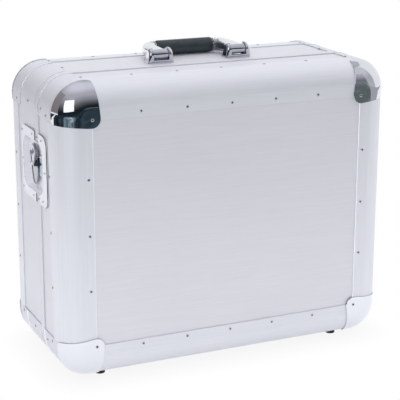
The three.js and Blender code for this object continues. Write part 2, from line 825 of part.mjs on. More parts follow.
function handleGrip() {
  const half = grip_length / 2;
  const shrunk = grip_radius - grip_end_radius;
  const profile = [
    new THREE.Vector2(0, -half),
    new THREE.Vector2(shrunk, -half),
    new THREE.Vector2(grip_radius, grip_end_radius - half),
    new THREE.Vector2(grip_radius, half - grip_end_radius),
    new THREE.Vector2(shrunk, half),
    new THREE.Vector2(0, half),
  ];
  return new THREE.LatheGeometry(profile, round_steps).rotateZ(Math.PI / 2).translate(0, grip_y, grip_z);
}

// Hinge leaves: knuckles take turns along the axis, which lies under the parting line
const hinge_z = foot_height - hinge_axis_drop;

function knuckleSpan(middle_x, index) {
  const pitch = hinge_length / hinge_knuckles;
  const start = middle_x - hinge_length / 2 + index * pitch;
  return [start + seam / 2, start + pitch - seam / 2];
}

// One leaf with its own knuckles: way is -1 for the lid's leaf and 1 for the base's
function hingeLeaf(middle_x, way, surface_z, first) {
  const leaf_top = surface_z - board_play;
  const near = parting_y + way * hinge_leaf_gap;
  const far = parting_y + way * hinge_leaf_reach;
  const [low_y, high_y] = [Math.min(near, far), Math.max(near, far)];
  const end = hinge_length / 2;
  const knuckle_top = hinge_z + knuckle_radius;
  const leaf_low = Math.min(leaf_top - hinge_leaf_sheet, knuckle_top - hinge_leaf_sheet);
  let leaf = toSolid(block([middle_x - end, low_y, leaf_low], [middle_x + end, high_y, leaf_top]));
  for (let index = first; index < hinge_knuckles; index += 2) {
    const [from, to] = knuckleSpan(middle_x, index);
    const reach = parting_y + way * (hinge_leaf_gap + hinge_leaf_sheet);
    const strap_y = [Math.min(parting_y, reach), Math.max(parting_y, reach)];
    const strap = block([from, strap_y[0], knuckle_top - hinge_leaf_sheet], [to, strap_y[1], knuckle_top]);
    const knuckle = barAlongX(knuckle_radius, from, to, parting_y, hinge_z);
    leaf = leaf.add(toSolid(strap)).add(toSolid(knuckle));
  }
  return leaf;
}

function hingeBaseLeaf(middle_x) {
  const end = hinge_length / 2 - seam;
  const pin = toSolid(barAlongX(hinge_pin_radius, middle_x - end, middle_x + end, parting_y, hinge_z));
  return hingeLeaf(middle_x, 1, foot_height, 0).add(pin);
}

function hingeLidLeaf(middle_x) {
  const end = hinge_length / 2 + overrun;
  const bore_radius = hinge_pin_radius + seam;
  const bore = toSolid(barAlongX(bore_radius, middle_x - end, middle_x + end, parting_y, hinge_z));
  return hingeLeaf(middle_x, -1, foot_height + board_depth, 1).subtract(bore);
}

// The shells
const base = new THREE.Group();
const lid = new THREE.Group();
assembly.add(base, lid);

function sideSign(side) {
  return Math.sign(side.middle.x);
}

function withLatchCut(side, geometry) {
  if (isLevel(side)) {
    return geometry;
  }
  return toSolid(geometry).subtract(toSolid(onSide(sideSign(side), latchCutter())));
}

const base_front = base_depth - closing_web - seam;
addPiece(base, 'base_back_panel', facePanel(base_shell), finish.skin);
addPiece(lid, 'lid_front_panel', facePanel(lid_shell), finish.skin);
for (const side of sides) {
  const base_wall = sideBoard(side, base_shell, edge_radius + board_play, base_front);
  const lid_wall = sideBoard(side, lid_shell, edge_radius + board_play, lid_depth - seam);
  addPiece(base, `base_wall_${side.name}`, withLatchCut(side, base_wall), finish.skin);
  addPiece(lid, `lid_wall_${side.name}`, withLatchCut(side, lid_wall), finish.skin);
  addPiece(base, `base_edge_${side.name}`, edgeExtrusion(side, base_shell), finish.extrusion);
  addPiece(lid, `lid_edge_${side.name}`, edgeExtrusion(side, lid_shell), finish.extrusion);
}

const base_plate_end = base_depth - closing_flange - seam;
for (const corner of corners) {
  const base_plate = cornerPlate(corner, base_shell, base_plate_end);
  const lid_plate = cornerPlate(corner, lid_shell, lid_depth - seam);
  addPiece(base, `base_corner_plate_${corner.name}`, base_plate, finish.extrusion);
  addPiece(lid, `lid_corner_plate_${corner.name}`, lid_plate, finish.extrusion);
  addPiece(base, `base_corner_cap_${corner.name}`, cornerCap(corner, base_shell), finish.chrome);
  addPiece(lid, `lid_corner_cap_${corner.name}`, cornerCap(corner, lid_shell), finish.chrome);
}

let frame_ring = toSolid(closingFrame());
for (const sign of [-1, 1]) {
  frame_ring = frame_ring.subtract(toSolid(onSide(sign, latchCutter())));
}
addPiece(base, 'base_closing_frame', frame_ring, finish.extrusion);

const base_foam_top = base_depth - foam_below_rim;
const base_foam_floor = lip_inner + seam + bay_pad;
const lid_foam_floor = lip_inner + seam + lid_pad;
const lid_recess_width = case_width - 2 * (foam_inset + lid_rim_width);
const lid_recess_height = case_height - 2 * (foam_inset + lid_rim_width);
const base_foam = foamBlock(base_shell, base_foam_top, bay_width, bay_height, base_foam_floor);
const lid_foam_top = lip_inner + seam + lid_foam_height;
const lid_foam = foamBlock(lid_shell, lid_foam_top, lid_recess_width, lid_recess_height, lid_foam_floor);
addPiece(base, 'base_foam_insert', base_foam, finish.foam);
addPiece(lid, 'lid_foam_pad', lid_foam, finish.foam);

// Feet, hinges, latches and the handle
for (const [hand, sign] of [['left', -1], ['right', 1]]) {
  const foot_x = sign * foot_spacing / 2;
  addPiece(base, `base_foot_${hand}`, foot(), finish.rubber).position.set(foot_x, rear_y - foot_from_edge, 0);
  addPiece(lid, `lid_foot_${hand}`, foot(), finish.rubber).position.set(foot_x, front_y + foot_from_edge, 0);

  const hinge_x = sign * hinge_spacing / 2;
  addPiece(base, `hinge_base_leaf_${hand}`, hingeBaseLeaf(hinge_x), finish.zinc);
  addPiece(lid, `hinge_lid_leaf_${hand}`, hingeLidLeaf(hinge_x), finish.zinc);

  addPiece(base, `latch_dish_${hand}`, onSide(sign, latchDish()), finish.zinc);
  addPiece(lid, `latch_keeper_${hand}`, onSide(sign, latchKeeper()), finish.zinc);
  addPiece(base, `latch_hook_${hand}`, onSide(sign, latchHook()), finish.zinc);
  addPiece(base, `latch_rotor_${hand}`, onSide(sign, latchRotor()), finish.zinc);
  addPiece(base, `latch_wing_${hand}`, onSide(sign, latchWing(-sign)), finish.zinc);

  const bracket = fromSolid(handleBracket());
  const arm = fromSolid(handleArm());
  addPiece(base, `handle_bracket_${hand}`, sign > 0 ? bracket : mirrored(bracket), finish.chrome);
  addPiece(base, `handle_arm_${hand}`, sign > 0 ? arm : mirrored(arm), finish.chrome);
}
addPiece(base, 'handle_grip', handleGrip(), finish.grip);

export default assembly;
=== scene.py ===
"""Looks of an upright turntable case: brushed boards in aluminium edges, with plated fittings."""

import logging
import math
from dataclasses import dataclass, field
from enum import Enum
from typing import Callable, Iterator, Optional, Sequence

import bmesh
import bpy
from bmesh.types import BMEdge, BMesh, BMVert
from bpy.types import Material, Node, NodeSocket, NodeTree
from mathutils import Matrix, Vector, geometry


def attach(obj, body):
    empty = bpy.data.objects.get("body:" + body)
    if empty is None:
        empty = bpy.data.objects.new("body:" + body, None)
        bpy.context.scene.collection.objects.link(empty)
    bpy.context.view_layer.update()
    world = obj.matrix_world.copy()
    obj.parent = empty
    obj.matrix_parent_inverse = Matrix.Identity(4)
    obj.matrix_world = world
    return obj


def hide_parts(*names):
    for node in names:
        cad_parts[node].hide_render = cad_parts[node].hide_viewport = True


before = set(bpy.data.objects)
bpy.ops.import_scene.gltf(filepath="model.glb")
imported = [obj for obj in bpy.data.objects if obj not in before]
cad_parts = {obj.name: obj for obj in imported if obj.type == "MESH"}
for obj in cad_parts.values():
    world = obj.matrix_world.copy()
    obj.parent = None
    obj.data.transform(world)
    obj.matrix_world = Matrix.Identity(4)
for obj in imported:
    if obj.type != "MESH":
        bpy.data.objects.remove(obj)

LOG = logging.getLogger("turntable_case")
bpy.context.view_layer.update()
# Points closer than this are one point, and points within the second distance of a plane lie in it
WELD = 1e-6
IN_PLANE = 1e-5
# In degrees: an edge that turns by more is drawn sharp, one that turns by more is rounded, and faces that
# turn by less are one flat face
SHARP = 35.0
ROUNDED = 28.0
FLAT = 0.6


# ---- The case's own sizes, in metres, as in the part's source ----


@dataclass(frozen=True)
class CaseSizes:
    """Sizes of the whole case that its sub-assemblies share."""

    width: float = 0.530
    height: float = 0.4375
    depth: float = 0.2372
    lid_depth: float = 0.0838
    corner_radius: float = 0.048
    foot_height: float = 0.006
    sheet: float = 0.0015
    seam: float = 0.0003
    edge_radius: float = 0.0363
    face_flange: float = 0.0524
    lid_side_flange: float = 0.0415
    base_side_flange: float = 0.0545
    lip_outer: float = 0.0107
    lip_inner: float = 0.0122
    inner_lip: float = 0.012
    plate_reach_side: float = 0.057
    plate_reach_top: float = 0.051
    plate_face_flat: float = 0.008
    closing_flange: float = 0.0162
    cap_sheet: float = 0.0012
    cap_lift: float = 0.0003
    cap_side_depth: float = 0.026
    latch_proud: float = 0.0012
    latch_above_middle: float = 0.083

    @property
    def front_y(self) -> float:
        """Plane of the lid's face."""
        return -self.depth / 2

    @property
    def rear_y(self) -> float:
        """Plane of the base's back."""
        return self.depth / 2

    @property
    def middle_z(self) -> float:
        """Middle of the case's height."""
        return self.foot_height + self.height / 2

    @property
    def top_z(self) -> float:
        """Plane of the case's top."""
        return self.foot_height + self.height

    @property
    def base_depth(self) -> float:
        """Depth of the base behind the parting plane."""
        return self.depth - self.lid_depth


CASE = CaseSizes()


class Shell(Enum):
    """The two halves of the case: the body that each rides on and the way into it."""

    LID = ("lid", 1)
    BASE = ("base", -1)

    @property
    def body(self) -> str:
        """Name of the body and start of its nodes' names."""
        return self.value[0]

    @property
    def into(self) -> int:
        """Sign of Y from the half's face into the case."""
        return self.value[1]

    @property
    def inward(self) -> Vector:
        """Direction from the half's face into the case."""
        return Vector((0, self.into, 0))

    @property
    def face_y(self) -> float:
        """Plane of the half's face."""
        return CASE.front_y if self is Shell.LID else CASE.rear_y

    @property
    def side_flange(self) -> float:
        """Reach of the edge's side flange from the face."""
        return CASE.lid_side_flange if self is Shell.LID else CASE.base_side_flange


class Side(Enum):
    """The four sides of the case, each with the way inwards."""

    TOP = (0, -1)
    BOTTOM = (0, 1)
    LEFT = (1, 0)
    RIGHT = (-1, 0)

    @property
    def inward(self) -> Vector:
        """Direction from the side into the case."""
        return Vector((self.value[0], 0, self.value[1]))

    @property
    def level(self) -> bool:
        """Whether the side runs along the case's width."""
        return self.value[0] == 0

    @property
    def run(self) -> Vector:
        """Direction along the side."""
        return Vector((1, 0, 0)) if self.level else Vector((0, 0, 1))

    @property
    def middle(self) -> Vector:
        """Middle of the side's outer plane, at y = 0."""
        half_width, half_height = CASE.width / 2, CASE.height / 2
        return Vector((-self.value[0] * half_width, 0, CASE.middle_z - self.value[1] * half_height))


def placed(origin: Sequence[float], x_axis: Vector, y_axis: Vector, z_axis: Vector) -> Matrix:
    """Gives the matrix of a frame from its origin and the directions of its three axes."""
    return Matrix.Translation(origin) @ Matrix((x_axis, y_axis, z_axis)).transposed().to_4x4()


class Corner(Enum):
    """The four corners, each with its signs along X and Z."""

    TOP_LEFT = (-1, 1)
    TOP_RIGHT = (1, 1)
    BOTTOM_LEFT = (-1, -1)
    BOTTOM_RIGHT = (1, -1)

    @property
    def label(self) -> str:
        """The corner's name as the nodes have it."""
        return self.name.lower()

    def inset(self, side: float, end: float) -> tuple[float, float]:
        """Gives the x and z of a place that lies in from the case's side and from its top or bottom."""
        sign_x, sign_z = self.value
        return sign_x * (CASE.width / 2 - side), CASE.middle_z + sign_z * (CASE.height / 2 - end)

    def matrix(self, shell: Shell) -> Matrix:
        """Place of the corner's own frame.

        Args:
            shell: The half that the corner belongs to.

        Returns:
            Matrix from x out to the side, y up or down to the end and z from the face inwards,
            with the origin at the bend's centre.
        """
        sign_x, sign_z = self.value
        x, z = self.inset(CASE.corner_radius, CASE.corner_radius)
        return placed((x, shell.face_y, z), Vector((sign_x, 0, 0)), Vector((0, 0, sign_z)), shell.inward)


# ---- Node and mesh helpers ----


def linear(colour: str) -> tuple[float, float, float, float]:
    """Turns an sRGB hex colour to linear values.

    Args:
        colour: Six hex digits after a hash sign.

    Returns:
        Linear red, green, blue and an alpha of 1.
    """
    parts = [int(colour[i : i + 2], 16) / 255 for i in (1, 3, 5)]
    red, green, blue = (c / 12.92 if c <= 0.04045 else ((c + 0.055) / 1.055) ** 2.4 for c in parts)
    return red, green, blue, 1.0


def feed(tree: NodeTree, node: Node, inputs: dict) -> None:
    """Sets or links a shader node's inputs.

    Args:
        tree: The node tree.
        node: The node.
        inputs: Input name or number to a value, to a socket, or to a node whose first output is linked.
    """
    for key, value in inputs.items():
        if isinstance(value, Node):
            value = value.outputs[0]
        if isinstance(value, NodeSocket):
            tree.links.new(value, node.inputs[key])
        else:
            node.inputs[key].default_value = value


def add_node(tree: NodeTree, kind: str, inputs: Optional[dict] = None, **settings) -> Node:
    """Adds a shader node.

    Args:
        tree: The node tree.
        kind: The node's type, without the start that all shader nodes have.
        inputs: What feed() sets.
        **settings: The node's own properties.

    Returns:
        The new node.
    """
    node = tree.nodes.new(f"ShaderNode{kind}")
    for key, value in settings.items():
        setattr(node, key, value)
    feed(tree, node, inputs or {})
    return node


def object_place(tree: NodeTree) -> NodeSocket:
    """Gives the socket with the place on the object."""
    return add_node(tree, "TexCoord").outputs["Object"]


def blend(tree: NodeTree, share: Node, first: Sequence[float], second: Sequence[float]) -> NodeSocket:
    """Gives the socket with a mix of two colours: the first at a share of 0, the second at 1."""
    return add_node(tree, "Mix", {0: share, 6: first, 7: second}, data_type="RGBA").outputs[2]


def new_material(name: str, empty: bool = False) -> tuple[Material, NodeTree]:
    """Makes a node material.

    Args:
        name: Its name.
        empty: Whether it has no node yet, instead of the standard shader.

    Returns:
        The material and its node tree.
    """
    material = bpy.data.materials.new(name)
    material.use_nodes = True
    if empty:
        material.node_tree.nodes.clear()
    return material, material.node_tree


def new_object(name: str, form: BMesh, material: Material, sharp: float = SHARP) -> bpy.types.Object:
    """Makes an object of a bmesh, with its place in its mesh and normals that follow its broad faces.

    Args:
        name: Name of the object and its mesh.
        form: The bmesh, which is freed.
        material: The piece's material.
        sharp: Angle in degrees above which an edge stays sharp.

    Returns:
        The new object.
    """
    mesh = bpy.data.meshes.new(name)
    form.to_mesh(mesh)
    form.free()
    for polygon in mesh.polygons:
        polygon.use_smooth = True
    mesh.set_sharp_from_angle(angle=math.radians(sharp))
    mesh.materials.append(material)
    piece = bpy.data.objects.new(name, mesh)
    bpy.context.scene.collection.objects.link(piece)
    even = piece.modifiers.new("even_normals", "WEIGHTED_NORMAL")
    even.mode = "FACE_AREA"
    even.keep_sharp = True
    return piece


def close_up(form: BMesh) -> None:
    """Merges doubles and turns the faces of a closed form outwards."""
    bmesh.ops.remove_doubles(form, verts=form.verts[:], dist=WELD)
    bmesh.ops.recalc_face_normals(form, faces=form.faces[:])


def settled(form: BMesh, place: Matrix) -> BMesh:
    """Sets a form in its place, closes it up and gives it back.

    Args:
        form: The bmesh.
        place: The form's own frame.

    Returns:
        The same bmesh.
    """
    bmesh.ops.transform(form, matrix=place, verts=form.verts[:])
    close_up(form)
    return form


def new_verts(result: dict) -> list[BMVert]:
    """Lists the vertices in the result of an extrusion."""
    return [v for v in result["geom"] if isinstance(v, BMVert)]


def spin(
    form: BMesh, geom: list, axis: Sequence[float], degrees: float, steps: int, centre: Sequence[float] = (0, 0, 0)
) -> list:
    """Turns vertices and edges about an axis. A whole turn is joined up.

    Args:
        form: The bmesh.
        geom: What is turned.
        axis: Direction of the axis.
        degrees: The turn.
        steps: Steps in the turn.
        centre: A point on the axis.

    Returns:
        What the turned vertices and edges are at its end.
    """
    result = bmesh.ops.spin(
        form,
        geom=geom,
        cent=centre,
        axis=axis,
        angle=math.radians(degrees),
        steps=steps,
        use_merge=degrees == 360,
        use_duplicate=False,
    )
    return result["geom_last"]


def wire_arc(form: BMesh, start: BMVert, centre: Vector, degrees: float, steps: int) -> BMVert:
    """Draws an arc of edges from a vertex, about an axis along Y.

    Args:
        form: The bmesh.
        start: The vertex that the arc starts from.
        centre: Centre of the arc.
        degrees: Turn of the arc.
        steps: Number of edges.

    Returns:
        The arc's last vertex.
    """
    return next(v for v in spin(form, [start], (0, 1, 0), degrees, steps, centre) if isinstance(v, BMVert))


def line_to(form: BMesh, start: BMVert, place: Sequence[float]) -> BMVert:
    """Draws one straight edge from a vertex to a new one.

    Args:
        form: The bmesh.
        start: The vertex that the edge starts from.
        place: Where the new vertex is.

    Returns:
        The new vertex.
    """
    end = form.verts.new(place)
    form.edges.new((start, end))
    return end


def turn(form: BMesh, profile: Sequence[tuple], axis: Sequence[float], steps: int, closed: bool = True) -> None:
    """Turns a profile about an axis through the origin.

    Args:
        form: The bmesh.
        profile: The profile's points.
        axis: Direction of the axis.
        steps: Steps in the whole turn.
        closed: Whether the last point is joined to the first.
    """
    verts = [form.verts.new(point) for point in profile]
    edges = [form.edges.new(pair) for pair in zip(verts, verts[1:] + verts[: int(closed)])]
    spin(form, verts + edges, axis, 360, steps)


def bevel(form: BMesh, geom: list, width: float, segments: int, slide: bool = False) -> None:
    """Rounds edges, or the corners of a flat outline.

    Args:
        form: The bmesh.
        geom: The edges, or the corners' vertices.
        width: Width of the rounding, in metres.
        segments: Steps in the rounding.
        slide: Whether the rounding slides along the edges beside it where it can.
    """
    corners = any(isinstance(part, BMVert) for part in geom)
    bmesh.ops.bevel(
        form,
        geom=geom,
        offset=width,
        segments=segments,
        profile=0.5,
        affect="VERTICES" if corners else "EDGES",
        clamp_overlap=not corners,
        loop_slide=slide,
        material=-1,
    )


def joined_copy(node: str) -> BMesh:
    """Copies a CAD node's mesh, with its doubles merged and its flat faces made whole.

    Args:
        node: Name of the node.

    Returns:
        The copy as a bmesh.
    """
    form = bmesh.new()
    form.from_mesh(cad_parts[node].data)
    bmesh.ops.remove_doubles(form, verts=form.verts[:], dist=WELD)
    bmesh.ops.dissolve_limit(
        form, angle_limit=math.radians(FLAT), use_dissolve_boundaries=False, verts=form.verts[:], edges=form.edges[:]
    )
    return form


def sharp_edges(form: BMesh, degrees: float = ROUNDED) -> list[BMEdge]:
    """Lists a closed form's edges that turn by more than an angle."""
    return [e for e in form.edges if len(e.link_faces) == 2 and e.calc_face_angle(0) > math.radians(degrees)]


def softened(node: str, width: float, segments: int = 2, angle: float = ROUNDED) -> BMesh:
    """Copies a CAD node's mesh and rounds its sharp edges.

    Args:
        node: Name of the node.
        width: Width of the rounding, in metres.
        segments: Steps in the rounding.
        angle: Edges that turn by more than this many degrees are rounded.

    Returns:
        The rounded copy as a bmesh.
    """
    form = joined_copy(node)
    bevel(form, sharp_edges(form, angle), width, segments, slide=True)
    return form


# ---- Finishes ----


class Grain(Enum):
    """Way in which a brushed or drawn metal's fine lines run."""

    ALONG_X = (0.02, 1.0, 1.0)
    ALONG_Z = (1.0, 1.0, 0.02)
    NONE = (1.0, 1.0, 1.0)


@dataclass(frozen=True)
class Finish:
    """A surface's name, its light and its dark tone, and its gloss."""

    name: str
    colour: str
    dark: str
    roughness: float

    def material(self) -> Material:
        """Builds the material, once for each name.

        Returns:
            The node material.
        """
        material = bpy.data.materials.get(self.name)
        if not material:
            material, tree = new_material(self.name)
            self.shade(tree, tree.nodes["Principled BSDF"])
        return material

    def shade(self, tree: NodeTree, shader: Node) -> None:
        """Fills in the standard shader, in the kinds of finish."""
        raise NotImplementedError


@dataclass(frozen=True)
class MetalFinish(Finish):
    """A metal surface, with fine lines or grain and slight unevenness."""

    spread: float = 0.06
    metallic: float = 1.0
    grain: Grain = Grain.NONE
    pitch: float = 0.0012
    depth: float = 0.00001
    wave: float = 0.0
    wave_size: float = 0.02

    def shade(self, tree: NodeTree, shader: Node) -> None:
        """Gives the metal its lines, the tone and bump that follow them, an uneven gloss and slow swells.

        Args:
            tree: The material's tree.
            shader: Its standard shader.
        """
        place = object_place(tree)
        scale = Vector(self.grain.value) / self.pitch
        lines_at = add_node(tree, "Mapping", {"Vector": place, "Scale": scale})
        lines = add_node(tree, "TexNoise", {"Vector": lines_at, "Scale": 1.0, "Detail": 3.0, "Roughness": 0.6})
        broad = add_node(tree, "TexNoise", {"Vector": place, "Scale": 14.0, "Detail": 2.0})
        low, high = self.roughness - self.spread, self.roughness + self.spread
        gloss = add_node(tree, "MapRange", {"Value": broad, "To Min": low, "To Max": high})
        bump = add_node(tree, "Bump", {"Height": lines, "Strength": 0.6, "Distance": self.depth})
        if self.wave:
            swell = add_node(tree, "TexNoise", {"Vector": place, "Scale": 1.0 / self.wave_size, "Detail": 1.0})
            bump = add_node(tree, "Bump", {"Height": swell, "Strength": 1.0, "Distance": self.wave, "Normal": bump})
        tone = blend(tree, lines, linear(self.dark), linear(self.colour))
        feed(tree, shader, {"Base Color": tone, "Roughness": gloss, "Metallic": self.metallic, "Normal": bump})


@dataclass(frozen=True)
class SoftFinish(Finish):
    """A plastic, rubber or foam surface with a grain of small cells or pebbles."""

    cell: float
    depth: float
    sheen: float = 0.0

    def shade(self, tree: NodeTree, shader: Node) -> None:
        """Gives the surface its cells, with the tone and bump that follow them.

        Args:
            tree: The material's tree.
            shader: Its standard shader.
        """
        place = object_place(tree)
        cells = add_node(tree, "TexVoronoi", {"Vector": place, "Scale": 1.0 / self.cell})
        cloud = add_node(tree, "TexNoise", {"Vector": place, "Scale": 0.25 / self.cell, "Detail": 4.0})
        amount = add_node(tree, "Math", {0: cells, 1: cloud}, operation="MULTIPLY")
        bump = add_node(tree, "Bump", {"Height": amount, "Strength": 0.8, "Distance": self.depth})
        tone = blend(tree, amount, linear(self.dark), linear(self.colour))
        feed(tree, shader, {"Base Color": tone, "Normal": bump})
        feed(tree, shader, {"Roughness": self.roughness, "Sheen Weight": self.sheen})


# Each finish is named for the real material, and its comment says what it gives the eye.

# Sheet brushed across its width: fine level lines and a soft gloss. The real lines lie about 0.2 mm
# apart and are drawn coarser here, so that they show at this distance.
SKIN_LEVEL = MetalFinish("brushed_aluminium_level", "#dcdde3", "#cfd0d7", 0.56, grain=Grain.ALONG_X, metallic=0.6)
# The same sheet on the upright sides, with its lines along their height
SKIN_UPRIGHT = MetalFinish("brushed_aluminium_upright", "#dcdde3", "#cfd0d7", 0.56, grain=Grain.ALONG_Z, metallic=0.6)
# Extruded and anodised: satin, with faint drawing lines along its length
EDGE_LEVEL = MetalFinish(
    "anodised_extrusion_level", "#dddee5", "#d0d2da", 0.5, grain=Grain.ALONG_X, pitch=0.002, metallic=0.56
)
# The same extrusion upright, with its lines along its height
EDGE_UPRIGHT = MetalFinish(
    "anodised_extrusion_upright", "#dddee5", "#d0d2da", 0.5, grain=Grain.ALONG_Z, pitch=0.002, metallic=0.56
)
# The upright flanges' ends: a near-white, all but matt finish, a painted highlight that draws a fine bright line along
# them
FLANGE_END_HIGHLIGHT = MetalFinish("trimmed_aluminium_end", "#f3f4f9", "#ebecf2", 0.5, pitch=0.004, metallic=0.05)
# Plates pressed from the same metal: as satin as the extrusion, without drawing lines
PLATE = MetalFinish("anodised_pressing", "#d4d5dd", "#cbcdd5", 0.5, pitch=0.004, metallic=0.56)
# The beads are burnished as they are rolled, which makes them glossy; their colour is whiter than the plates', a
# painted highlight that brightens the fine line of light they catch
BEAD = MetalFinish("burnished_bead", "#f0f1f6", "#e8e9ef", 0.26, pitch=0.004, metallic=0.7)
# Polished steel under chrome: a mirror with the slight swells of a deep pressing
CAP_CHROME = MetalFinish(
    "chromed_pressing", "#dddfe6", "#d8dae1", 0.045, spread=0.01, wave=0.00035, wave_size=0.022, depth=0.000001
)
# Die casting under bright plate: glossy with soft swells
CAST_PLATE = MetalFinish(
    "bright_plated_casting", "#e0e1e8", "#d8d9e0", 0.08, spread=0.02, wave=0.00016, wave_size=0.008, depth=0.000002
)
# Sheet steel under bright zinc: a little cloudy
ZINC = MetalFinish("zinc_plated_steel", "#d6d8df", "#c6c8d0", 0.2, spread=0.06, pitch=0.003, depth=0.000004)
# The latch's dish: drawn sheet under dull zinc, pale with a soft shine
DISH = MetalFinish("dull_zinc_pressing", "#d3d4dc", "#c8c9d2", 0.3, pitch=0.003, metallic=0.35)
# The dish's rim: a narrow, dark and glossy strip, a painted shadow line that draws its outline where the plate stands
# proud
RIM_SHADOW_LINE = MetalFinish("painted_shadow_rim", "#5d5e68", "#53545d", 0.12, spread=0.03, pitch=0.001, depth=0.000002)
# The dish's floor: the same zinc made paler and more matt than the rest, a painted light that keeps the recess as
# light as the plate
DISH_FLOOR = MetalFinish("dish_floor_painted_light", "#dcdde4", "#d0d1d9", 0.42, pitch=0.003, metallic=0.15)
# The latch's wing: bright zinc on a pressing, glossy with soft swells
BRIGHT = MetalFinish(
    "bright_zinc_pressing", "#c6c9d1", "#b2b5be", 0.14, spread=0.04, wave=0.00012, wave_size=0.008, depth=0.000002
)
# The latch's rotor and hook: the same zinc, slightly darker and uneven all over
DARKER_ZINC = MetalFinish(
    "darker_zinc_pressing", "#aeb1ba", "#868a94", 0.15, spread=0.05, wave=0.00012, wave_size=0.007, depth=0.000002
)
# Heads of the blind rivets: plain aluminium with a soft gloss, so that each shows as a small bright ring
RIVET = MetalFinish("aluminium_rivet", "#c9cad1", "#b9bac2", 0.3, pitch=0.001)
# The broken mandrel in a rivet's bore: steel, made darker than steel to stand also for the shade in the bore, a
# painted shade that gives each head its dark middle
RIVET_CORE = MetalFinish("steel_core_with_bore_shade", "#36373c", "#27282c", 0.4, pitch=0.001)
# Moulded grip: fine pebbled grain with a dull shine
GRIP = SoftFinish("grained_grip_moulding", "#3a4750", "#182026", 0.38, 0.0018, 0.0002)
# Feet: matt, nearly black rubber with a faint grain
FOOT = SoftFinish("moulded_rubber", "#2a2a2c", "#1d1d1f", 0.7, 0.0015, 0.00005)
# Open foam: small pits that swallow the light, and a soft sheen where it is seen edge-on
FOAM = SoftFinish("open_cell_foam", "#3a3b3e", "#1f2022", 0.95, 0.0028, 0.0006, sheen=0.15)


# ---- Pieces ----


@dataclass
class SubAssembly:
    """Ground for the sub-assemblies: it takes pieces and reports them."""

    pieces: list = field(default_factory=list)

    def add(
        self,
        name: str,
        form: BMesh,
        finish: Finish,
        body: str,
        slot: str,
        stands_for: Sequence[str] = (),
        sharp: float = SHARP,
    ) -> bpy.types.Object:
        """Makes a piece, ties it to its body and hides the CAD nodes that it stands for.

        Args:
            name: The piece's name.
            form: Its bmesh.
            finish: Its finish.
            body: The body that it rides on.
            slot: The record's material slot; not used.
            stands_for: CAD nodes that it replaces.
            sharp: Angle in degrees above which an edge stays sharp.

        Returns:
            The piece's object.
        """
        piece = new_object(name, form, finish.material(), sharp)
        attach(piece, body)
        if stands_for:
            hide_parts(*stands_for)
        LOG.info("%s: %d faces on %s", name, len(piece.data.polygons), body)
        self.pieces.append(piece)
        return piece


@dataclass
class Panels(SubAssembly):
    """The boards, which keep their CAD shape and take the brushed finish."""

    def build(self) -> None:
        """Dresses every board."""
        for shell in Shell:
            face = "lid_front_panel" if shell is Shell.LID else "base_back_panel"
            self.dress(face, SKIN_LEVEL)
            for side in Side:
                skin = SKIN_LEVEL if side.level else SKIN_UPRIGHT
                self.dress(f"{shell.body}_wall_{side.name.lower()}", skin)

    def dress(self, node: str, finish: Finish) -> None:
        """Gives a CAD node its finish.

        Args:
            node: Name of the node.
            finish: The finish.
        """
        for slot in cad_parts[node].material_slots:
            slot.material = finish.material()
        LOG.info("%s: dressed", node)


@dataclass
class EdgeStrips(SubAssembly):
    """The edge extrusions along the four sides of each half."""

    arc_steps: int = 20
    end_round: float = 0.0008
    end_steps: int = 2

    def build(self) -> None:
        """Builds the eight strips, each with the painted highlight of the upright flanges' ends as its second
        material.
        """
        for shell in Shell:
            for side in Side:
                form = self.strip(shell, side)
                finish = EDGE_LEVEL if side.level else EDGE_UPRIGHT
                node = f"{shell.body}_edge_{side.name.lower()}"
                piece = self.add(f"{node}_satin", form, finish, shell.body, "edge_extrusion", [node])
                piece.data.materials.append(FLANGE_END_HIGHLIGHT.material())

    def strip(self, shell: Shell, side: Side) -> BMesh:
        """Extrudes one strip's section.

        Args:
            shell: The half of the case.
            side: The side that the strip lies along.

        Returns:
            The strip as a bmesh.
        """
        case, radius = CASE, CASE.edge_radius
        flange, face = shell.side_flange, case.face_flange
        lip = radius + case.inner_lip
        # The outer wall from the side flange's end to the face flange's, and the inner wall with its lips back
        side_end, bend, face_end = (0, flange), (0, 0), (face, 0)
        inner_bend = (case.lip_inner, case.lip_inner)
        across = [(face, case.sheet), (radius, case.sheet), (radius, case.lip_outer), (lip, case.lip_outer)]
        across.append((lip, case.lip_inner))
        upwards = [(v, u) for u, v in reversed(across[1:])] + [(case.sheet, flange)]
        section = [side_end, bend, face_end, *across, inner_bend, *upwards]
        form = bmesh.new()
        verts = [form.verts.new((u, v, 0)) for u, v in section]
        form.faces.new(verts)
        for place, width in ((bend, radius), (inner_bend, radius - case.lip_inner)):
            bevel(form, [verts[section.index(place)]], width, self.arc_steps)
        # The flanges' outer ends are slightly rounded, and the upright ones take a painted highlight line along them
        ends = [verts[section.index(place)] for place in (side_end, face_end)]
        bevel(form, ends, self.end_round, self.end_steps)
        span, reach = (case.width, case.plate_reach_top) if side.level else (case.height, case.plate_reach_side)
        length = span - 2 * reach - 2 * case.seam
        grown = bmesh.ops.extrude_face_region(form, geom=form.faces[:], use_keep_orig=True)
        bmesh.ops.translate(form, vec=(0, 0, length), verts=new_verts(grown))
        # Faces at an upright flange's end take the painted highlight
        for plane in form.faces:
            inwards, deep, _ = plane.calc_center_median()
            painted_line_face = inwards > face - self.end_round and deep < self.end_round
            plane.material_index = int(painted_line_face and not side.level)
        origin = side.middle + Vector((0, shell.face_y, 0)) - side.run * (length / 2)
        return settled(form, placed(origin, side.inward, shell.inward, side.run))


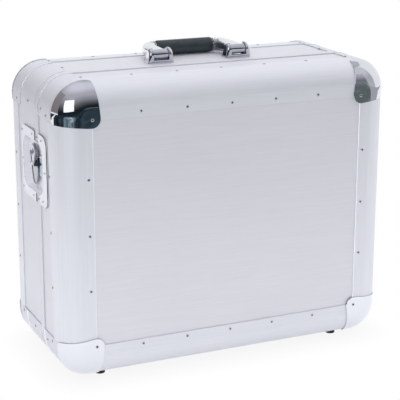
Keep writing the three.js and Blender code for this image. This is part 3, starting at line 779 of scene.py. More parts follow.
@dataclass
class Corners(SubAssembly):
    """The bent corner plates with their beads, and the polished caps over them."""

    arc_steps: int = 20
    bend_steps: int = 24
    # A place inside the case, in a corner's frame, and the turn in degrees from which an edge is a sheet's rim
    inside: tuple = (-0.02, -0.02, 0.06)
    rim_angle: float = 60.0
    plate_rim: float = 0.0002
    cap_rim: float = 0.0003
    # The bead's radius, its steps, and the distance of its middle from the base's face
    bead_size: float = 0.0009
    bead_steps: int = 8
    base_bead: float = 0.0692
    # The cap's reach along the sides, its splay there, and the roundings of its ends and of its flat
    cap_side_reach: float = 0.0585
    cap_splay: float = 0.106
    cap_end_round: float = 0.006
    cap_inner_round: float = 0.0173
    cap_inner_steps: int = 10
    cap_sharp: float = 40.0
    # A cap's face is its satin rim where its normal has more than this share into the case
    cap_rim_share: float = 0.5

    def build(self) -> None:
        """Builds the eight plates with their beads and the eight caps.

        A cap's faces that look into the case along its sides are the satin metal of its rim.
        """
        for shell in Shell:
            for corner in Corner:
                body = shell.body
                plate, cap = f"{body}_corner_plate_{corner.label}", f"{body}_corner_cap_{corner.label}"
                self.add(f"{plate}_bent", self.plate(shell, corner), PLATE, body, "edge_extrusion", [plate])
                self.add(f"{plate}_bead", self.bead(shell, corner), BEAD, body, "edge_extrusion")
                form = self.cap(shell, corner)
                for face in form.faces:
                    face.material_index = int(face.normal.y * shell.into > self.cap_rim_share)
                piece = self.add(f"{cap}_polished", form, CAP_CHROME, body, "corner_chrome", [cap], self.cap_sharp)
                piece.data.materials.append(PLATE.material())

    def sweep(
        self, form: BMesh, leg_side: float, leg_end: float, grow: Optional[Callable[[float, float], float]] = None
    ) -> None:
        """Turns a wire section about the corner's axis and draws a straight leg at each end.

        Args:
            form: A bmesh that holds only the section's wire, in the plane y = 0.
            leg_side: Length of the leg along the side.
            leg_end: Length of the leg along the top or bottom.
            grow: Gives the legs' extra length at a distance in from the outer side and from the face.
        """
        start = form.edges[:]
        turned = spin(form, form.verts[:] + form.edges[:], (0, 0, 1), 90, self.bend_steps)
        last = [part for part in turned if isinstance(part, BMEdge)]
        for edges, way, leg in ((start, Vector((0, -1, 0)), leg_side), (last, Vector((-1, 0, 0)), leg_end)):
            for vert in new_verts(bmesh.ops.extrude_edge_only(form, edges=edges)):
                outer = vert.co.x if way.y else vert.co.y
                extra = grow(CASE.corner_radius - outer, vert.co.z) if grow else 0.0
                vert.co += way * (leg + extra)
        bmesh.ops.remove_doubles(form, verts=form.verts[:], dist=WELD)

    def thicken(self, form: BMesh, thickness: float, place: Matrix, round_by: float) -> BMesh:
        """Gives an open sheet its thickness inwards, rounds its rim and sets it in its place.

        Args:
            form: The sheet, in the corner's frame.
            thickness: The sheet's thickness.
            place: The corner's place.
            round_by: Width of the rim's rounding.

        Returns:
            The same bmesh.
        """
        centre = Vector(self.inside)
        bmesh.ops.recalc_face_normals(form, faces=form.faces[:])
        inwards = sum(1 if f.normal.dot(f.calc_center_median() - centre) < 0 else -1 for f in form.faces)
        if inwards > 0:
            bmesh.ops.reverse_faces(form, faces=form.faces[:])
        bmesh.ops.solidify(form, geom=form.faces[:], thickness=thickness)
        bevel(form, sharp_edges(form, self.rim_angle), round_by, 1)
        return settled(form, place)

    def plate(self, shell: Shell, corner: Corner) -> BMesh:
        """Bends one corner plate round its corner.

        Args:
            shell: The half of the case.
            corner: The plate's corner.

        Returns:
            The plate as a bmesh.
        """
        case, radius, outer = CASE, CASE.edge_radius, CASE.corner_radius
        end = case.lid_depth - case.seam if shell is Shell.LID else case.base_depth - case.closing_flange - case.seam
        form = bmesh.new()
        vert = form.verts.new((outer, 0, end))
        vert = line_to(form, vert, (outer, 0, radius))
        vert = wire_arc(form, vert, Vector((outer - radius, 0, radius)), 90, self.arc_steps)
        line_to(form, vert, (outer - radius - case.plate_face_flat, 0, 0))
        self.sweep(form, case.plate_reach_side - outer, case.plate_reach_top - outer)
        return self.thicken(form, case.sheet, corner.matrix(shell), self.plate_rim)

    def bead(self, shell: Shell, corner: Corner) -> BMesh:
        """Rolls the half-round bead that runs round a plate: at the lid's edge, and half-way up the base's.

        Args:
            shell: The half of the case.
            corner: The plate's corner.

        Returns:
            The bead as a bmesh.
        """
        case, size, outer = CASE, self.bead_size, CASE.corner_radius
        at = case.lid_depth - case.seam - size if shell is Shell.LID else self.base_bead
        form = bmesh.new()
        start = form.verts.new((outer - size / 2, 0, at + size))
        vert = line_to(form, start, (outer, 0, at + size))
        vert = wire_arc(form, vert, Vector((outer, 0, at)), 180, self.bead_steps)
        vert = line_to(form, vert, (outer - size / 2, 0, at - size))
        form.edges.new((vert, start))
        self.sweep(form, case.plate_reach_side - outer, case.plate_reach_top - outer)
        bmesh.ops.holes_fill(form, edges=[e for e in form.edges if e.is_boundary], sides=0)
        return settled(form, corner.matrix(shell))

    def cap(self, shell: Shell, corner: Corner) -> BMesh:
        """Presses one cap: a rounded rim swept round the corner, and a flat on the face.

        Args:
            shell: The half of the case.
            corner: The cap's corner.

        Returns:
            The cap as a bmesh.
        """
        case, radius = CASE, CASE.edge_radius
        grow = radius + case.cap_lift + case.cap_sheet
        centre = Vector((case.corner_radius - radius, 0, radius))
        from_angle = math.asin((radius - case.cap_side_depth) / grow)
        form = bmesh.new()
        start = (centre.x + grow * math.cos(from_angle), 0, radius - grow * math.sin(from_angle))
        vert = form.verts.new(start)
        wire_arc(form, vert, centre, 90 - math.degrees(from_angle), self.arc_steps)
        leg = self.cap_side_reach - case.corner_radius
        self.sweep(form, leg, leg, self.cap_end)
        top = radius - grow
        rim = [v for v in form.verts if abs(v.co.z - top) < IN_PLANE]
        side_end = min(rim, key=lambda v: v.co.y)
        far_end = min(rim, key=lambda v: v.co.x)
        # The flat's corner, where the lines of the two splayed ends meet, is rounded once the flat is filled
        meet = case.corner_radius - self.cap_side_reach / (1 - self.cap_splay)
        inner = form.verts.new((meet, meet, top))
        form.edges.new((side_end, inner))
        form.edges.new((inner, far_end))
        flat = [e for e in form.edges if all(abs(v.co.z - top) < IN_PLANE for v in e.verts)]
        bmesh.ops.contextual_create(form, geom=flat)
        bevel(form, [inner], self.cap_inner_round, self.cap_inner_steps)
        return self.thicken(form, case.cap_sheet, corner.matrix(shell), self.cap_rim)

    def cap_end(self, inwards: float, depth: float) -> float:
        """Gives the extra reach of a cap's end: it splays inwards and is rounded at its free corner.

        Args:
            inwards: Distance in from the case's side or end.
            depth: Distance from the case's face.

        Returns:
            Reach beyond that at the side.
        """
        width = self.cap_end_round
        past = max(0.0, depth - CASE.cap_side_depth + width)
        return self.cap_splay * inwards - (width - math.sqrt(max(width * width - past * past, 0.0)))


@dataclass(frozen=True)
class RivetPlace:
    """Where a rivet sits and which way its head faces."""

    at: tuple[float, float, float]
    out: tuple[float, float, float]


@dataclass
class Rivets(SubAssembly):
    """The blind rivets that hold the boards, the corner plates, the caps and the latches."""

    head_radius: float = 0.0022
    cap_head_radius: float = 0.0024
    latch_head_radius: float = 0.0018
    head_height: float = 0.0008
    # The core's radius and height as shares of the head's, and how far its thickness goes down
    core_share: float = 0.5
    core_rise: float = 0.45
    core_thickness: float = 0.0002
    steps: int = 16
    # The head's profile in shares of its radius and height. In its bore the radius counts from the core's
    dome: tuple = ((1, -0.3), (1, 0.3), (0.86, 0.8), (0.7, 1))
    bore: tuple = ((0.07, 1), (0, 0.7), (0, -0.3))
    # Rows along the flanges: number to each side of the middle, and pitch
    face_from_edge: float = 0.0448
    face_level: tuple = (2, 0.0704)
    face_upright: tuple = (1, 0.0823)
    side_from_face: float = 0.0385
    base_from_front: float = 0.198
    side_level: tuple = (2, 0.0699)
    side_upright: tuple = (1, 0.0824)
    cap_from_edge: float = 0.0515
    # On the corner plates: depth behind the front face, and distance from the case's end or side
    band_sides: tuple = ((0.048, 0.0508), (0.070, 0.0448), (0.130, 0.0448), (0.186, 0.0513))
    band_tops: tuple = ((0.048, 0.0525), (0.128, 0.0525), (0.190, 0.0525))
    # On the latches: depth behind the front face, and height above the latch's middle
    base_latch: tuple = (
        (0.1603, 0.0435), (0.1603, 0.0), (0.1603, -0.0435),
        (0.1115, 0.0458), (0.1115, -0.0458), (0.0885, 0.0458), (0.0885, -0.0458),
    )
    lid_latch: tuple = ((0.0685, 0.0448), (0.0685, -0.0448), (0.0565, 0.0))

    def build(self) -> None:
        """Builds each group of rivets as one piece of heads and one of cores for each half."""
        groups = (
            ("face", self.on_face, self.head_radius),
            ("sides", self.on_sides, self.head_radius),
            ("bands", self.on_bands, self.head_radius),
            ("caps", self.on_caps, self.cap_head_radius),
            ("latches", self.on_latches, self.latch_head_radius),
        )
        for shell in Shell:
            for label, places, radius in groups:
                self.group(shell, label, list(places(shell)), radius)

    def group(self, shell: Shell, label: str, places: Sequence[RivetPlace], radius: float) -> None:
        """Makes the heads and the cores of one group.

        Args:
            shell: The half that they are in.
            label: The group's name.
            places: Where they are.
            radius: Radius of the heads.
        """
        heads, cores = bmesh.new(), bmesh.new()
        for place in places:
            at = Matrix.Translation(Vector(place.at)) @ Vector(place.out).to_track_quat("Z", "Y").to_matrix().to_4x4()
            self.head(heads, at, radius)
            # Each core: the mandrel as a dark disc, darkened as painted shade of the bore
            rise = Matrix.Translation((0, 0, self.head_height * self.core_rise))
            core = {"segments": self.steps, "radius": radius * self.core_share, "matrix": at @ rise}
            bmesh.ops.create_circle(cores, cap_ends=True, **core)
        close_up(heads)
        self.add(f"{shell.body}_{label}_rivets", heads, RIVET, shell.body, "plated_hardware")
        moved = new_verts(bmesh.ops.extrude_face_region(cores, geom=cores.faces[:], use_keep_orig=True))
        for place in places:
            near = [v for v in moved if (v.co - Vector(place.at)).length < radius]
            bmesh.ops.translate(cores, vec=Vector(place.out) * -self.core_thickness, verts=near)
        close_up(cores)
        self.add(f"{shell.body}_{label}_rivet_cores", cores, RIVET_CORE, shell.body, "plated_hardware")

    def head(self, form: BMesh, at: Matrix, radius: float) -> None:
        """Turns one ring-shaped head into the group.

        Args:
            form: The group's bmesh.
            at: The rivet's place, with its head along +Z.
            radius: The head's radius.
        """
        steps = (*self.dome, *((self.core_share + share, high) for share, high in self.bore))
        old = set(form.verts)
        turn(form, [(share * radius, 0, high * self.head_height) for share, high in steps], (0, 0, 1), self.steps)
        bmesh.ops.transform(form, matrix=at, verts=[v for v in form.verts if v not in old])

    def row(self, spacing: tuple[int, float]) -> list[float]:
        """Lists the distances from a row's middle, of a number to each side and a pitch."""
        count, pitch = spacing
        return [step * pitch for step in range(-count, count + 1)]

    def on_face(self, shell: Shell) -> Iterator[RivetPlace]:
        """Places along the four face flanges.

        Args:
            shell: The half of the case.

        Yields:
            Each rivet's place.
        """
        half_width = CASE.width / 2 - self.face_from_edge
        half_height = CASE.height / 2 - self.face_from_edge
        out = (0, -shell.into, 0)
        for sign in (-1, 1):
            for x in self.row(self.face_level):
                yield RivetPlace((x, shell.face_y, CASE.middle_z + sign * half_height), out)
            for z in self.row(self.face_upright):
                yield RivetPlace((sign * half_width, shell.face_y, CASE.middle_z + z), out)

    def on_sides(self, shell: Shell) -> Iterator[RivetPlace]:
        """Places along the side flanges.

        Args:
            shell: The half of the case.

        Yields:
            Each rivet's place.
        """
        y = CASE.front_y + (self.side_from_face if shell is Shell.LID else self.base_from_front)
        for side in Side:
            for along in self.row(self.side_level if side.level else self.side_upright):
                at = side.middle + side.run * along
                yield RivetPlace((at.x, y, at.z), tuple(-side.inward))

    def on_bands(self, shell: Shell) -> Iterator[RivetPlace]:
        """Places on the corner plates' sides.

        Args:
            shell: The half of the case.

        Yields:
            Each rivet's place.
        """
        for corner in Corner:
            sign_x, sign_z = corner.value
            upright = [(depth, (0, inwards), (sign_x, 0, 0)) for depth, inwards in self.band_sides]
            level = [(depth, (inwards, 0), (0, 0, sign_z)) for depth, inwards in self.band_tops]
            for depth, inset, out in upright + level:
                if (depth < CASE.lid_depth) == (shell is Shell.LID):
                    x, z = corner.inset(*inset)
                    yield RivetPlace((x, CASE.front_y + depth, z), out)

    def on_caps(self, shell: Shell) -> Iterator[RivetPlace]:
        """Places on the caps' flats.

        Args:
            shell: The half of the case.

        Yields:
            Each rivet's place.
        """
        y = shell.face_y - shell.into * (CASE.cap_lift + CASE.cap_sheet)
        for corner in Corner:
            x, z = corner.inset(self.cap_from_edge, self.cap_from_edge)
            yield RivetPlace((x, y, z), (0, -shell.into, 0))

    def on_latches(self, shell: Shell) -> Iterator[RivetPlace]:
        """Places on the plates of both latches.

        Args:
            shell: The half of the case.

        Yields:
            Each rivet's place.
        """
        x = CASE.width / 2 + CASE.latch_proud
        for depth, rise in self.lid_latch if shell is Shell.LID else self.base_latch:
            z = CASE.middle_z + CASE.latch_above_middle + rise
            for sign in (-1, 1):
                yield RivetPlace((sign * x, CASE.front_y + depth, z), (sign, 0, 0))


@dataclass
class Fittings(SubAssembly):
    """The closing frame, the feet, the hinges and the latches, softened along their edges."""

    # Roundings: of sheet such as the closing frame and the hinges' leaves, of a foot and of a latch piece
    sheet_round: float = 0.0002
    foot_round: float = 0.0004
    latch_round: float = 0.0003
    # Rims round the panels pressed in a rotor and a wing, the width of such a panel's slope, and its depth
    rotor_rim: float = 0.0011
    wing_rim: float = 0.0012
    slope: float = 0.0007
    press_depth: float = 0.0007
    # A face whose normal has at least this share outwards is broad, and one with less than the second is a rim's
    broad: float = 0.95
    steep: float = 0.8
    # Depth below the case's side from which a latch plate is its dish
    sunk: float = 0.0015

    def build(self) -> None:
        """Builds the softened fittings."""
        frame_node = "base_closing_frame"
        form = softened(frame_node, self.sheet_round, 1)
        self.add(f"{frame_node}_satin", form, PLATE, "base", "edge_extrusion", [frame_node])
        for hand in ("left", "right"):
            for body in ("base", "lid"):
                foot = f"{body}_foot_{hand}"
                self.add(f"{foot}_moulded", softened(foot, self.foot_round), FOOT, body, "foot_rubber", [foot])
                leaf = f"hinge_{body}_leaf_{hand}"
                self.add(f"{leaf}_plated", softened(leaf, self.sheet_round), ZINC, body, "plated_hardware", [leaf])
            self.latch(hand)

    def latch(self, hand: str) -> None:
        """Builds one latch. The dish and its half in the lid take three finishes: the zinc, a painted shadow line on
        the rim and a paler, painted-light floor where it is sunk.

        Args:
            hand: The side of the case that it is on.
        """
        out = Vector((-1 if hand == "left" else 1, 0, 0))
        pieces = (
            ("latch_dish", "base", DISH, 0.0),
            ("latch_keeper", "lid", DISH, 0.0),
            ("latch_rotor", f"rotor_{hand}", DARKER_ZINC, self.rotor_rim),
            ("latch_wing", f"wing_{hand}", BRIGHT, self.wing_rim),
            ("latch_hook", f"hook_{hand}", DARKER_ZINC, 0.0),
        )
        for part, body, finish, rim in pieces:
            node = f"{part}_{hand}"
            form = self.pressed(node, out, rim)
            if finish is DISH:
                self.share_out(form, out)
            piece = self.add(f"{node}_plated", form, finish, body, "plated_hardware", [node])
            if finish is DISH:
                piece.data.materials.append(RIM_SHADOW_LINE.material())
                piece.data.materials.append(DISH_FLOOR.material())

    def share_out(self, form: BMesh, out: Vector) -> None:
        """Gives a latch plate's rim the painted shadow line of the piece's second material, and its sunk part the
        painted light of the third.

        Args:
            form: The latch plate's form.
            out: Direction out of the case's side.
        """
        side = CASE.width / 2
        for face in form.faces:
            proud = face.calc_center_median().dot(out) - side
            # Sunk faces take the floor's painted light, and the proud rim's sideways faces the painted shadow line
            if proud < -self.sunk:
                face.material_index = 2
            elif proud > 0 and abs(face.normal.dot(out)) < self.steep:
                face.material_index = 1

    def pressed(self, node: str, out: Vector, rim: float) -> BMesh:
        """Copies a latch piece with a panel pressed into its broad face and with rounded edges.

        Args:
            node: The piece's node.
            out: Direction out of the case's side.
            rim: Width of the rim round the panel, or 0 for a plain piece.

        Returns:
            The copy as a bmesh.
        """
        form = joined_copy(node)
        if rim:
            faces = [f for f in form.faces if f.normal.dot(out) > self.broad]
            level = max(faces, key=lambda f: f.calc_area()).calc_center_median().dot(out)
            panel = [f for f in faces if abs(f.calc_center_median().dot(out) - level) < IN_PLANE]
            for width, height in ((rim, 0.0), (self.slope, -self.press_depth)):
                bmesh.ops.inset_region(
                    form, faces=panel, thickness=width, depth=height, use_boundary=True, use_even_offset=True
                )
        bevel(form, sharp_edges(form), self.latch_round, 2, slide=True)
        return form


@dataclass
class Handle(SubAssembly):
    """The folding handle: two brackets, two arms and the grip between them."""

    middle: float = 0.0635
    pivot: tuple = (0.0014, 0.4545)
    arm_half: float = 0.0121
    hub_radius: float = 0.0075
    hub_bore: float = 0.0028
    # Width of the hub's rounded rim, and the share of it that its middle point lies in
    hub_rim: float = 0.0008
    hub_round: float = 0.3
    grip_radius: float = 0.0115
    grip_length: float = 0.093
    grip_y: float = 0.0574
    grip_z: float = 0.4539
    # The grip's rounded end: distance in from it, and below the full radius
    grip_end: tuple = ((0, 0.0022), (0.0006, 0.0010), (0.0022, 0.0001), (0.006, 0))
    grip_steps: int = 48
    around: int = 36
    sharp: float = 50.0
    # Steps along the arm's middle line, how many of them lie between plain sections, and its bends' reaches
    line_steps: int = 256
    plain_step: int = 16
    line_start: float = 0.0034
    line_back: tuple = (0.0012, 0.036)
    line_turn: float = 0.001
    # The arm is this much lower than its hub, and swells and rounds off to the grip by these powers
    arm_lower: float = 0.0006
    swell_power: float = 0.8
    squareness: float = 2.2
    square_power: float = 1.5
    # Rings turned in the arm beside the grip: their number, pitch, size and depth as shares, and section spacing
    ring_count: int = 3
    ring_pitch: float = 0.0042
    ring_size: float = 0.96
    ring_depth: float = 0.11
    ring_step: float = 0.0003
    # A bracket: half its width, its base's height, the draft of its sides as a casting has it, and its roundings
    bracket_half: float = 0.021
    bracket_base: float = 0.001
    draft: float = 0.17
    near_side: float = 0.0035
    side_round: float = 0.004
    side_steps: int = 6
    edge_round: float = 0.0005
    edge_angle: float = 40.0

    def build(self) -> None:
        """Builds the handle's pieces."""
        slot = "handle_chrome"
        for hand, sign in (("left", -1), ("right", 1)):
            bracket, arm = f"handle_bracket_{hand}", f"handle_arm_{hand}"
            form = self.bracket(bracket, sign)
            self.add(f"{bracket}_plated", form, CAST_PLATE, "base", slot, [bracket], self.sharp)
            self.add(f"{arm}_plated", self.arm(sign), CAST_PLATE, "handle", slot, [arm], self.sharp)
        self.add("handle_grip_moulded", self.grip(), GRIP, "handle", "grip_plastic", ["handle_grip"])

    def bracket(self, node: str, sign: int) -> BMesh:
        """Copies a bracket, with its outer sides well rounded as a casting has them.

        Args:
            node: The bracket's node.
            sign: Sign of the bracket's place along X.

        Returns:
            The rounded copy as a bmesh.
        """
        form = joined_copy(node)
        sides = [sign * self.middle + way * self.bracket_half for way in (-1, 1)]
        low = CASE.top_z + self.bracket_base
        for vert in form.verts:
            for side, way in zip(sides, (1, -1)):
                if abs(vert.co.x - side) < IN_PLANE and vert.co.z > low:
                    vert.co.x += way * self.draft * (vert.co.z - low)
        rims = []
        for edge in sharp_edges(form):
            beside = any(all(abs(v.co.x - side) < self.near_side for v in edge.verts) for side in sides)
            if beside and max(v.co.z for v in edge.verts) > low:
                rims.append(edge)
        bevel(form, rims, self.side_round, self.side_steps)
        bevel(form, sharp_edges(form, self.edge_angle), self.edge_round, 2)
        return form

    def arm(self, sign: int) -> BMesh:
        """Makes one arm: a bored hub and a rounded bar that runs back and bends to the grip's end.

        Args:
            sign: Sign of the arm's place along X.

        Returns:
            The arm as a bmesh.
        """
        form = bmesh.new()
        half, radius, rim = self.arm_half, self.hub_radius, self.hub_rim
        part = rim * self.hub_round
        # One end of the hub, from its bore out
        end = ((-half, self.hub_bore), (-half, radius - rim), (-half + part, radius - part), (-half + rim, radius))
        left = [(x, 0, r) for x, r in end]
        turn(form, left + self.mirrored(left), (1, 0, 0), self.around)
        bmesh.ops.translate(form, vec=(self.middle, *self.pivot), verts=form.verts[:])
        self.loft(form)
        return settled(form, Matrix.Diagonal((sign, 1, 1, 1)))

    def mirrored(self, profile: Sequence[tuple[float, float, float]]) -> list[tuple[float, float, float]]:
        """Gives a profile's other end: its points in the opposite order, with X turned round."""
        return [(-x, y, z) for x, y, z in reversed(profile)]

    def loft(self, form: BMesh) -> None:
        """Adds the arm's bar along its curved middle line, with the rings turned in it beside the grip.

        Args:
            form: The arm's bmesh.
        """
        pivot_y, pivot_z = self.pivot
        aside, back = self.line_back
        line = geometry.interpolate_bezier(
            Vector((self.middle, pivot_y + self.line_start, pivot_z)),
            Vector((self.middle + aside, pivot_y + back, pivot_z)),
            Vector((self.middle - self.line_turn, self.grip_y, self.grip_z)),
            Vector((self.grip_length / 2 + CASE.seam, self.grip_y, self.grip_z)),
            self.line_steps,
        )
        # Sections are made from the grip's end forwards: close together where the rings are, then wider apart
        travel, made, old = 0.0, -1.0, None
        last, turned = len(line) - 1, self.ring_pitch * self.ring_count
        for index in range(last, -1, -1):
            if index < last:
                travel += (line[index] - line[index + 1]).length
            if travel - made < self.ring_step if travel < turned else index % self.plain_step:
                continue
            made = travel
            groove = (1 + math.cos(math.tau * travel / self.ring_pitch)) / 2 if travel < turned else 0.0
            step = self.ring_size - self.ring_depth * groove if travel < turned else 1.0
            ahead = line[max(index - 1, 0)] - line[min(index + 1, last)]
            across = Vector((-ahead.y, ahead.x, 0)).normalized()
            share = index / last
            wide = self.arm_half + (self.grip_radius - self.arm_half) * share
            swell = (self.grip_radius - self.hub_radius + self.arm_lower) * share**self.swell_power
            tall = self.hub_radius - self.arm_lower + swell
            power = 2.0 + self.squareness * (1 - share) ** self.square_power
            ring = self.ring(form, line[index], across, (wide * step, tall * step), power)
            if old:
                bmesh.ops.bridge_loops(form, edges=old + ring)
            else:
                bmesh.ops.contextual_create(form, geom=ring)
            old = ring
        bmesh.ops.contextual_create(form, geom=old)

    def ring(
        self, form: BMesh, centre: Vector, across: Vector, halves: tuple[float, float], power: float
    ) -> list[BMEdge]:
        """Draws one closed section of the arm's bar.

        Args:
            form: The arm's bmesh.
            centre: The section's centre.
            across: Its level direction.
            halves: Half its width and half its height.
            power: 2 for an ellipse, more for a squarer section.

        Returns:
            The section's edges.
        """
        wide, tall = halves
        verts = []
        for step in range(self.around):
            angle = math.tau * step / self.around
            cos, sin = math.cos(angle), math.sin(angle)
            level = math.copysign(abs(cos) ** (2 / power), cos) * wide
            rise = math.copysign(abs(sin) ** (2 / power), sin) * tall
            verts.append(form.verts.new(centre + across * level + Vector((0, 0, rise))))
        return [form.edges.new(pair) for pair in zip(verts, verts[1:] + verts[:1])]

    def grip(self) -> BMesh:
        """Turns the grip's profile about its own length.

        Returns:
            The grip as a bmesh.
        """
        half, radius = self.grip_length / 2, self.grip_radius
        form = bmesh.new()
        left = [(-half, 0, 0), *((-half + inwards, 0, radius - less) for inwards, less in self.grip_end)]
        turn(form, [*left, (0, 0, radius), *self.mirrored(left)], (1, 0, 0), self.grip_steps, closed=False)
        return settled(form, Matrix.Translation((0, self.grip_y, self.grip_z)))


@dataclass
class Foam(SubAssembly):
    """The foam that holds the turntable in the base and presses on it from the lid."""

    edge_round: float = 0.003
    edge_steps: int = 3
    edge_angle: float = 40.0

    def build(self) -> None:
        """Builds the two foam pieces."""
        for node, body in (("base_foam_insert", "base"), ("lid_foam_pad", "lid")):
            form = softened(node, self.edge_round, self.edge_steps, self.edge_angle)
            piece = self.add(f"{node}_cells", form, FOAM, body, "foam", [node])


# ---- Studio ----

Colour = tuple[float, float, float, float]
WHITE = (1, 1, 1, 1)
# Tones of the room, from nearly black to light grey
LOW = (0.012, 0.019, 0.024, 1)
DIM = (0.1, 0.108, 0.118, 1)
MID = (0.3, 0.31, 0.325, 1)
HIGH = (0.5, 0.5, 0.54, 1)


@dataclass(frozen=True)
class GlowSpot:
    """A brighter place in a glowing screen: where it is, how far it reaches and its colour."""

    at: tuple[float, float, float]
    near: float
    far: float
    colour: Colour


@dataclass
class Studio:
    """The camera, the lights, the white floor and the room of screens that the plating reflects."""

    camera_at: tuple = (-0.796475, -1.765351, 0.779796)
    right: tuple = (0.911244, -0.411858, 0.002551)
    down: tuple = (-0.111788, -0.253287, -0.960911)
    forward: tuple = (0.396405, 0.875339, -0.276847)
    focal_pixels: float = 1297.05
    picture_pixels: float = 400.0
    sensor: float = 36.0
    clip: tuple = (0.05, 60)
    # The surround's light on dull surfaces, and what the camera and mirrors see of it
    surround: tuple = (0.92, 1.0)
    # Paper as its light falls on the case, as mirrors see it, and the glow that they see on it
    paper: Colour = (0.9, 0.9, 0.9, 1)
    seen_paper: Colour = (0.42, 0.42, 0.43, 1)
    paper_glow: float = 0.66
    floor_half: float = 12.0
    # Reach of the floor's painted shade under the feet, drawn by ambient occlusion, and the least light in it
    painted_shade_reach: float = 0.05
    painted_shade_tone: float = 0.9
    # The brightness that a cloud's own is a share of, its scale, and the noise between which it rises
    cloud_ground: float = 0.015
    cloud_scale: float = 2.5
    cloud_from: float = 0.45
    cloud_to: float = 0.75
    # Height of the room's walls, and of a screen that lies on the floor
    room_height: float = 8.0
    lying: float = 0.002

    def build(self) -> None:
        """Builds the studio."""
        bpy.context.scene.view_settings.view_transform = "Standard"
        self.camera()
        self.world()
        self.floor()
        self.screens()
        self.lamps()

    def camera(self) -> None:
        """Sets the camera at the photograph's viewing angle."""
        data = bpy.data.cameras.new("camera")
        data.sensor_fit = "HORIZONTAL"
        data.sensor_width = self.sensor
        data.lens = self.sensor * self.focal_pixels / self.picture_pixels
        data.clip_start, data.clip_end = self.clip
        eye = bpy.data.objects.new("camera", data)
        eye.matrix_world = placed(self.camera_at, Vector(self.right), -Vector(self.down), -Vector(self.forward))
        bpy.context.scene.collection.objects.link(eye)
        bpy.context.scene.camera = eye

    def world(self) -> None:
        """Makes a white surround that gives soft light from all sides."""
        world = bpy.data.worlds.new("white_surround")
        world.use_nodes = True
        tree = world.node_tree
        tree.nodes.clear()
        least, most = self.surround
        strength = add_node(tree, "MapRange", {"Value": self.seen(tree), "To Min": least, "To Max": most})
        surround = add_node(tree, "Background", {"Color": WHITE, "Strength": strength})
        add_node(tree, "OutputWorld", {"Surface": surround})
        bpy.context.scene.world = world

    def seen(self, tree: NodeTree) -> Node:
        """Tells apart the rays that show a thing from those that light it.

        Args:
            tree: The node tree.

        Returns:
            The node with 1 for a ray from the camera, or one that metal or glass sends on.
        """
        path = add_node(tree, "LightPath")
        rays = [path.outputs[f"Is {kind} Ray"] for kind in ("Camera", "Glossy", "Transmission")]
        first = add_node(tree, "Math", {0: rays[0], 1: rays[1]}, operation="MAXIMUM")
        return add_node(tree, "Math", {0: first, 1: rays[2]}, operation="MAXIMUM")

    def floor(self) -> None:
        """Lays a white floor, with a painted shade from ambient occlusion where the case stands on it.

        The camera looks through it, because the lid, which opens with the case laid on its back, hangs
        below the upright case's floor at its limit.
        """
        # White paper: nearly as bright as the surround. The camera sees through it, tinted darker by a painted shade
        # where the feet stand on it
        material, tree = new_material("white_floor", empty=True)
        paper = add_node(tree, "BsdfDiffuse", {"Color": self.paper})
        seen_paper = add_node(tree, "BsdfDiffuse", {"Color": self.seen_paper})
        glow = add_node(tree, "Emission", {"Color": WHITE, "Strength": self.paper_glow})
        bright = add_node(tree, "AddShader", {0: seen_paper, 1: glow})
        mix = add_node(tree, "MixShader", {0: self.seen(tree), 1: paper, 2: bright})
        # The camera's view through the floor is tinted by ambient occlusion: a painted shade, not a cast shadow
        shade = add_node(tree, "AmbientOcclusion", {"Distance": self.painted_shade_reach}, samples=8).outputs["AO"]
        tint = add_node(tree, "MapRange", {"Value": shade, "To Min": self.painted_shade_tone, "To Max": 1.0})
        clear = add_node(tree, "BsdfTransparent", {"Color": tint})
        camera = add_node(tree, "LightPath").outputs["Is Camera Ray"]
        shown = add_node(tree, "MixShader", {0: camera, 1: mix, 2: clear})
        add_node(tree, "OutputMaterial", {"Surface": shown})
        form = bmesh.new()
        bmesh.ops.create_grid(form, x_segments=4, y_segments=4, size=self.floor_half)
        new_object("floor", form, material)

    def screens(self) -> None:
        """Sets up the room that only polished surfaces see: dim walls, a grey ceiling and one bright window."""
        glow = self.glow
        # Front and left wall: nearly black below, so that chrome has its dark band, and light grey above
        wall = glow("studio_wall", ((0.0, LOW), (0.9, LOW), (2.2, DIM), (4.2, MID), (8.0, HIGH)))
        # Walls to the left rear: a warm grey above a dark foot
        warm = glow("side_wall", ((0.0, LOW), (0.4, (0.24, 0.215, 0.215, 1)), (8.0, (0.34, 0.31, 0.31, 1))))
        # Right part of the front wall: an even middle grey that brightens upwards
        far = glow("far_wall", ((0.0, (0.25, 0.25, 0.27, 1)), (1.6, (0.2, 0.2, 0.22, 1)), (4.0, HIGH)))
        # Right wall: pale all the way up, for chrome that faces right
        pale = glow("pale_wall", ((0.0, (0.58, 0.58, 0.6, 1)), (2.4, (0.5, 0.5, 0.53, 1)), (5.0, (0.7, 0.7, 0.74, 1))))
        # Ceiling: light grey, and brighter over the case
        over = GlowSpot((0.0, 1.0, 8.0), 1.5, 6.5, (0.8, 0.8, 0.86, 1))
        ceiling = glow("studio_ceiling", ((0.0, HIGH),), 0.0, over)
        # Floor to the left: nearly black with soft patches, and a faint bluish light at its front
        near = GlowSpot((-1.5, -2.0, 0.0), 0.2, 1.3, (0.2, 0.26, 0.3, 1))
        dark = glow("dark_floor", ((0.0, LOW),), 0.07, near)
        # Floor to the front right: dark grey with faint patches
        grey = glow("grey_floor", ((0.0, (0.13, 0.155, 0.15, 1)),), 0.02)
        # Floor to the right: light grey
        light = glow("light_floor", ((0.0, (0.45, 0.45, 0.48, 1)),))
        # The window: the one white light, which draws the highlights on the chrome
        window = glow("bright_window", ((0.0, (1.4, 1.4, 1.42, 1)),))
        left, right, front, top = -6, 5, -6, self.room_height
